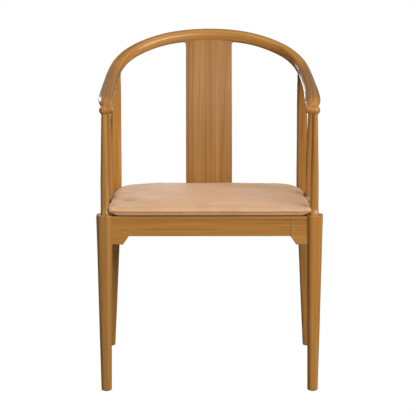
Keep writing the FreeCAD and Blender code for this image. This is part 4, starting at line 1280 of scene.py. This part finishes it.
# colour factors per piece: partly random variation, partly painted light and shade (the right front leg lighter, the
# left front leg darker)
finish(crest_o, wood("wood crest", 0, 3.1, tone_and_painted_light=1.05, attr="grain"), "frame", "wood", "crest_rail")
finish(arm_o, wood("wood right arm", 0, 8.8, tone_and_painted_light=1.06, attr="grain"), "frame", "wood", "right_arm")
finish(arm_l, wood("wood left arm", 0, 4.9, tone_and_painted_light=1.04, attr="grain"), "frame", "wood", "left_arm")
finish(leg_r, wood("wood right leg", 2, 1.9, tone_and_painted_light=1.07), "frame", "wood", "right_front_leg")
finish(leg_l, wood("wood left leg", 2, 7.3, tone_and_painted_light=0.95), "frame", "wood", "left_front_leg")

tan_ = (srgb(237, 188, 143), srgb(226, 172, 125), srgb(243, 203, 161))
saddle = (srgb(192, 142, 96), srgb(176, 126, 80), srgb(206, 158, 112))
finish(cush, leather("cushion leather", *tan_, seam=True), "cushion", "leather", "cushion_cover")
finish(foam, foam_mat("foam"), "cushion", "foam", "cushion_core")
finish(seam_thread, thread_mat("seam thread", srgb(206, 160, 118)), "cushion", "leather")
strap_leather = leather("strap leather", *saddle, band=10.4)
flap_leather = leather("strap flap leather", *saddle, band=9.4)
finish(strap_r, strap_leather, "cushion", "strap_leather", "right_strap")
finish(strap_l, strap_leather, "cushion", "strap_leather", "left_strap")
finish(flap_r, flap_leather, "cushion", "strap_leather")
finish(flap_l, flap_leather, "cushion", "strap_leather")
strap_thread_m = thread_mat("strap thread", srgb(206, 160, 118))
finish(thread_r, strap_thread_m, "cushion", "strap_leather")
finish(thread_l, strap_thread_m, "cushion", "strap_leather")
nickel = simple_metal("nickel stud", (0.66, 0.72, 0.80, 1.0), 0.34)
finish(stud_r, nickel, "cushion", "stud_metal", "strap_studs")
finish(stud_l, nickel, "cushion", "stud_metal")
dull = simple_metal("dull stud", (0.40, 0.46, 0.58, 1.0), 0.42)
finish(stud_ri, dull, "cushion", "stud_metal")
finish(stud_li, dull, "cushion", "stud_metal")

# colour factors per piece: partly random variation, partly painted light and shade (the left rear leg lighter, the
# right rear leg darker)
for n, along, seed, tone_and_painted_light in (
        ("front_rail", 0, 1.3, 1.07), ("rear_rail", 0, 4.1, 1.0), ("right_side_rail", 1, 2.2, 1.0),
        ("left_side_rail", 1, 6.7, 1.0), ("right_front_bracket", 0, 8.3, 1.08),
        ("left_front_bracket", 0, 9.6, 1.09), ("right_side_front_bracket", 1, 3.9, 1.0),
        ("left_side_front_bracket", 1, 5.2, 1.0), ("right_side_rear_bracket", 1, 7.7, 1.0),
        ("left_side_rear_bracket", 1, 2.8, 1.0), ("right_rear_bracket", 0, 6.1, 1.0),
        ("left_rear_bracket", 0, 5.5, 1.0), ("right_rear_leg", 2, 3.3, 0.94), ("left_rear_leg", 2, 4.4, 1.09),
        ("right_mid_post", 2, 5.8, 1.0), ("left_mid_post", 2, 6.9, 1.0)):
    dress(n, wood("wood " + n, along, seed, tone_and_painted_light=tone_and_painted_light))
dress("back_splat", wood("wood back_splat", 2, 2.45, tone_and_painted_light=0.965, streak=0.8, deep=0.04, lines=(
    (-53.0, 0.0, 6.0, 0.80), (-27.0, 0.0, 3.0, 1.11), (3.9, 0.0565, 3.4, 0.80), (-16.0, 0.0565, 3.5, 1.08),
    (12.5, 0.0565, 3.5, 1.09), (62.0, 0.0, 5.0, 0.92))))

raw = {"dark": srgb(176, 142, 98), "mid": srgb(202, 170, 124), "light": srgb(216, 187, 143), "pore": srgb(150, 116, 76)}
for n, along, seed in (("seat_panel", 0, 11.0), ("right_front_block", 0, 12.0), ("left_front_block", 0, 13.0),
                       ("right_rear_block", 0, 14.0), ("left_rear_block", 0, 15.0)):
    dress(n, wood("raw " + n, along, seed, lacquer=False, palette=raw))
steel = simple_metal("zinc screw", (0.62, 0.62, 0.60, 1.0), 0.34)
dress("block_screws", steel)
dress("panel_screws", steel)
dress("foot_glides", plastic("glide plastic", srgb(54, 46, 40)))


# ---------------------------------------------------------------------------
# stage and light
# ---------------------------------------------------------------------------
floor_mesh = bpy.data.meshes.new("floor")
bm = bmesh.new()
bmesh.ops.create_grid(bm, x_segments=4, y_segments=4, size=14.0)
bm.to_mesh(floor_mesh)
bm.free()
floor = bpy.data.objects.new("floor", floor_mesh)
scene.collection.objects.link(floor)
ft = Tree("floor white")
ft.bsdf.inputs["Base Color"].default_value = (0.15, 0.15, 0.15, 1.0)
ft.bsdf.inputs["Roughness"].default_value = 0.9
ft.bsdf.inputs["Specular IOR Level"].default_value = 0.0
glow = ft.node("ShaderNodeEmission")
glow.inputs[0].default_value = (1.0, 1.0, 1.0, 1.0)
glow.inputs[1].default_value = 1.0
lp = ft.node("ShaderNodeLightPath")
mx = ft.node("ShaderNodeMixShader")
ft.put(mx, 0, lp.outputs["Is Camera Ray"])
ft.nt.links.new(ft.bsdf.outputs[0], mx.inputs[1])
ft.nt.links.new(glow.outputs[0], mx.inputs[2])
ft.nt.links.new(mx.outputs[0], ft.out.inputs[0])
floor_mesh.materials.append(ft.mat)

world = bpy.data.worlds.new("studio")
scene.world = world
world.use_nodes = True
wn = world.node_tree
wn.nodes.clear()
w_out = wn.nodes.new("ShaderNodeOutputWorld")
w_mix = wn.nodes.new("ShaderNodeMixShader")
w_lp = wn.nodes.new("ShaderNodeLightPath")
w_dim = wn.nodes.new("ShaderNodeBackground")
w_white = wn.nodes.new("ShaderNodeBackground")
w_dim.inputs[0].default_value = (1.0, 1.0, 1.0, 1.0)
w_dim.inputs[1].default_value = 0.29
w_white.inputs[0].default_value = (1.0, 1.0, 1.0, 1.0)
w_white.inputs[1].default_value = 1.0
# the room is darker on the left side
w_co = wn.nodes.new("ShaderNodeTexCoord")
w_sep = wn.nodes.new("ShaderNodeSeparateXYZ")
w_map = wn.nodes.new("ShaderNodeMapRange")
wn.links.new(w_co.outputs["Generated"], w_sep.inputs[0])
wn.links.new(w_sep.outputs[0], w_map.inputs[0])
w_map.inputs[1].default_value, w_map.inputs[2].default_value = -0.9, 0.7
w_map.inputs[3].default_value, w_map.inputs[4].default_value = 0.25, 1.45
for bg_, k_ in ((w_dim, 0.47), (None, 0.12)):
    m_ = wn.nodes.new("ShaderNodeMath")
    m_.operation = "MULTIPLY"
    wn.links.new(w_map.outputs[0], m_.inputs[0])
    m_.inputs[1].default_value = k_
    if bg_ is None:
        w_glossy_level = m_.outputs[0]
    else:
        wn.links.new(m_.outputs[0], bg_.inputs[1])
wn.links.new(w_lp.outputs["Is Camera Ray"], w_mix.inputs[0])
w_gloss = wn.nodes.new("ShaderNodeBackground")
w_gloss.inputs[0].default_value = (1.0, 1.0, 1.0, 1.0)
wn.links.new(w_glossy_level, w_gloss.inputs[1])
w_mix2 = wn.nodes.new("ShaderNodeMixShader")
wn.links.new(w_lp.outputs["Is Glossy Ray"], w_mix2.inputs[0])
wn.links.new(w_dim.outputs[0], w_mix2.inputs[1])
wn.links.new(w_gloss.outputs[0], w_mix2.inputs[2])
wn.links.new(w_mix2.outputs[0], w_mix.inputs[1])
wn.links.new(w_white.outputs[0], w_mix.inputs[2])
wn.links.new(w_mix.outputs[0], w_out.inputs[0])


def area(name, loc, target, size, power, color=(1, 1, 1)):
    d = bpy.data.lights.new(name, "AREA")
    d.shape = "RECTANGLE"
    d.size, d.size_y = size
    d.energy = power
    d.color = color
    o = bpy.data.objects.new(name, d)
    scene.collection.objects.link(o)
    o.location = loc
    o.rotation_euler = (Vector(target) - Vector(loc)).to_track_quat("-Z", "Y").to_euler()
    return o


area("key right", (2.45, -3.75, 2.80), (0.0, 0.0, 0.50), (4.2, 2.2), 218)
area("rim behind", (-0.22, 3.5, 0.62), (0.0, 0.0, 0.6), (0.55, 0.85), 4.4)
area("rim left", (-1.9, 2.45, 1.60), (0.0, 0.0, 0.60), (1.2, 1.2), 24)
area("top", (0.3, 0.9, 2.9), (0.0, 0.0, 0.5), (2.2, 2.2), 3)
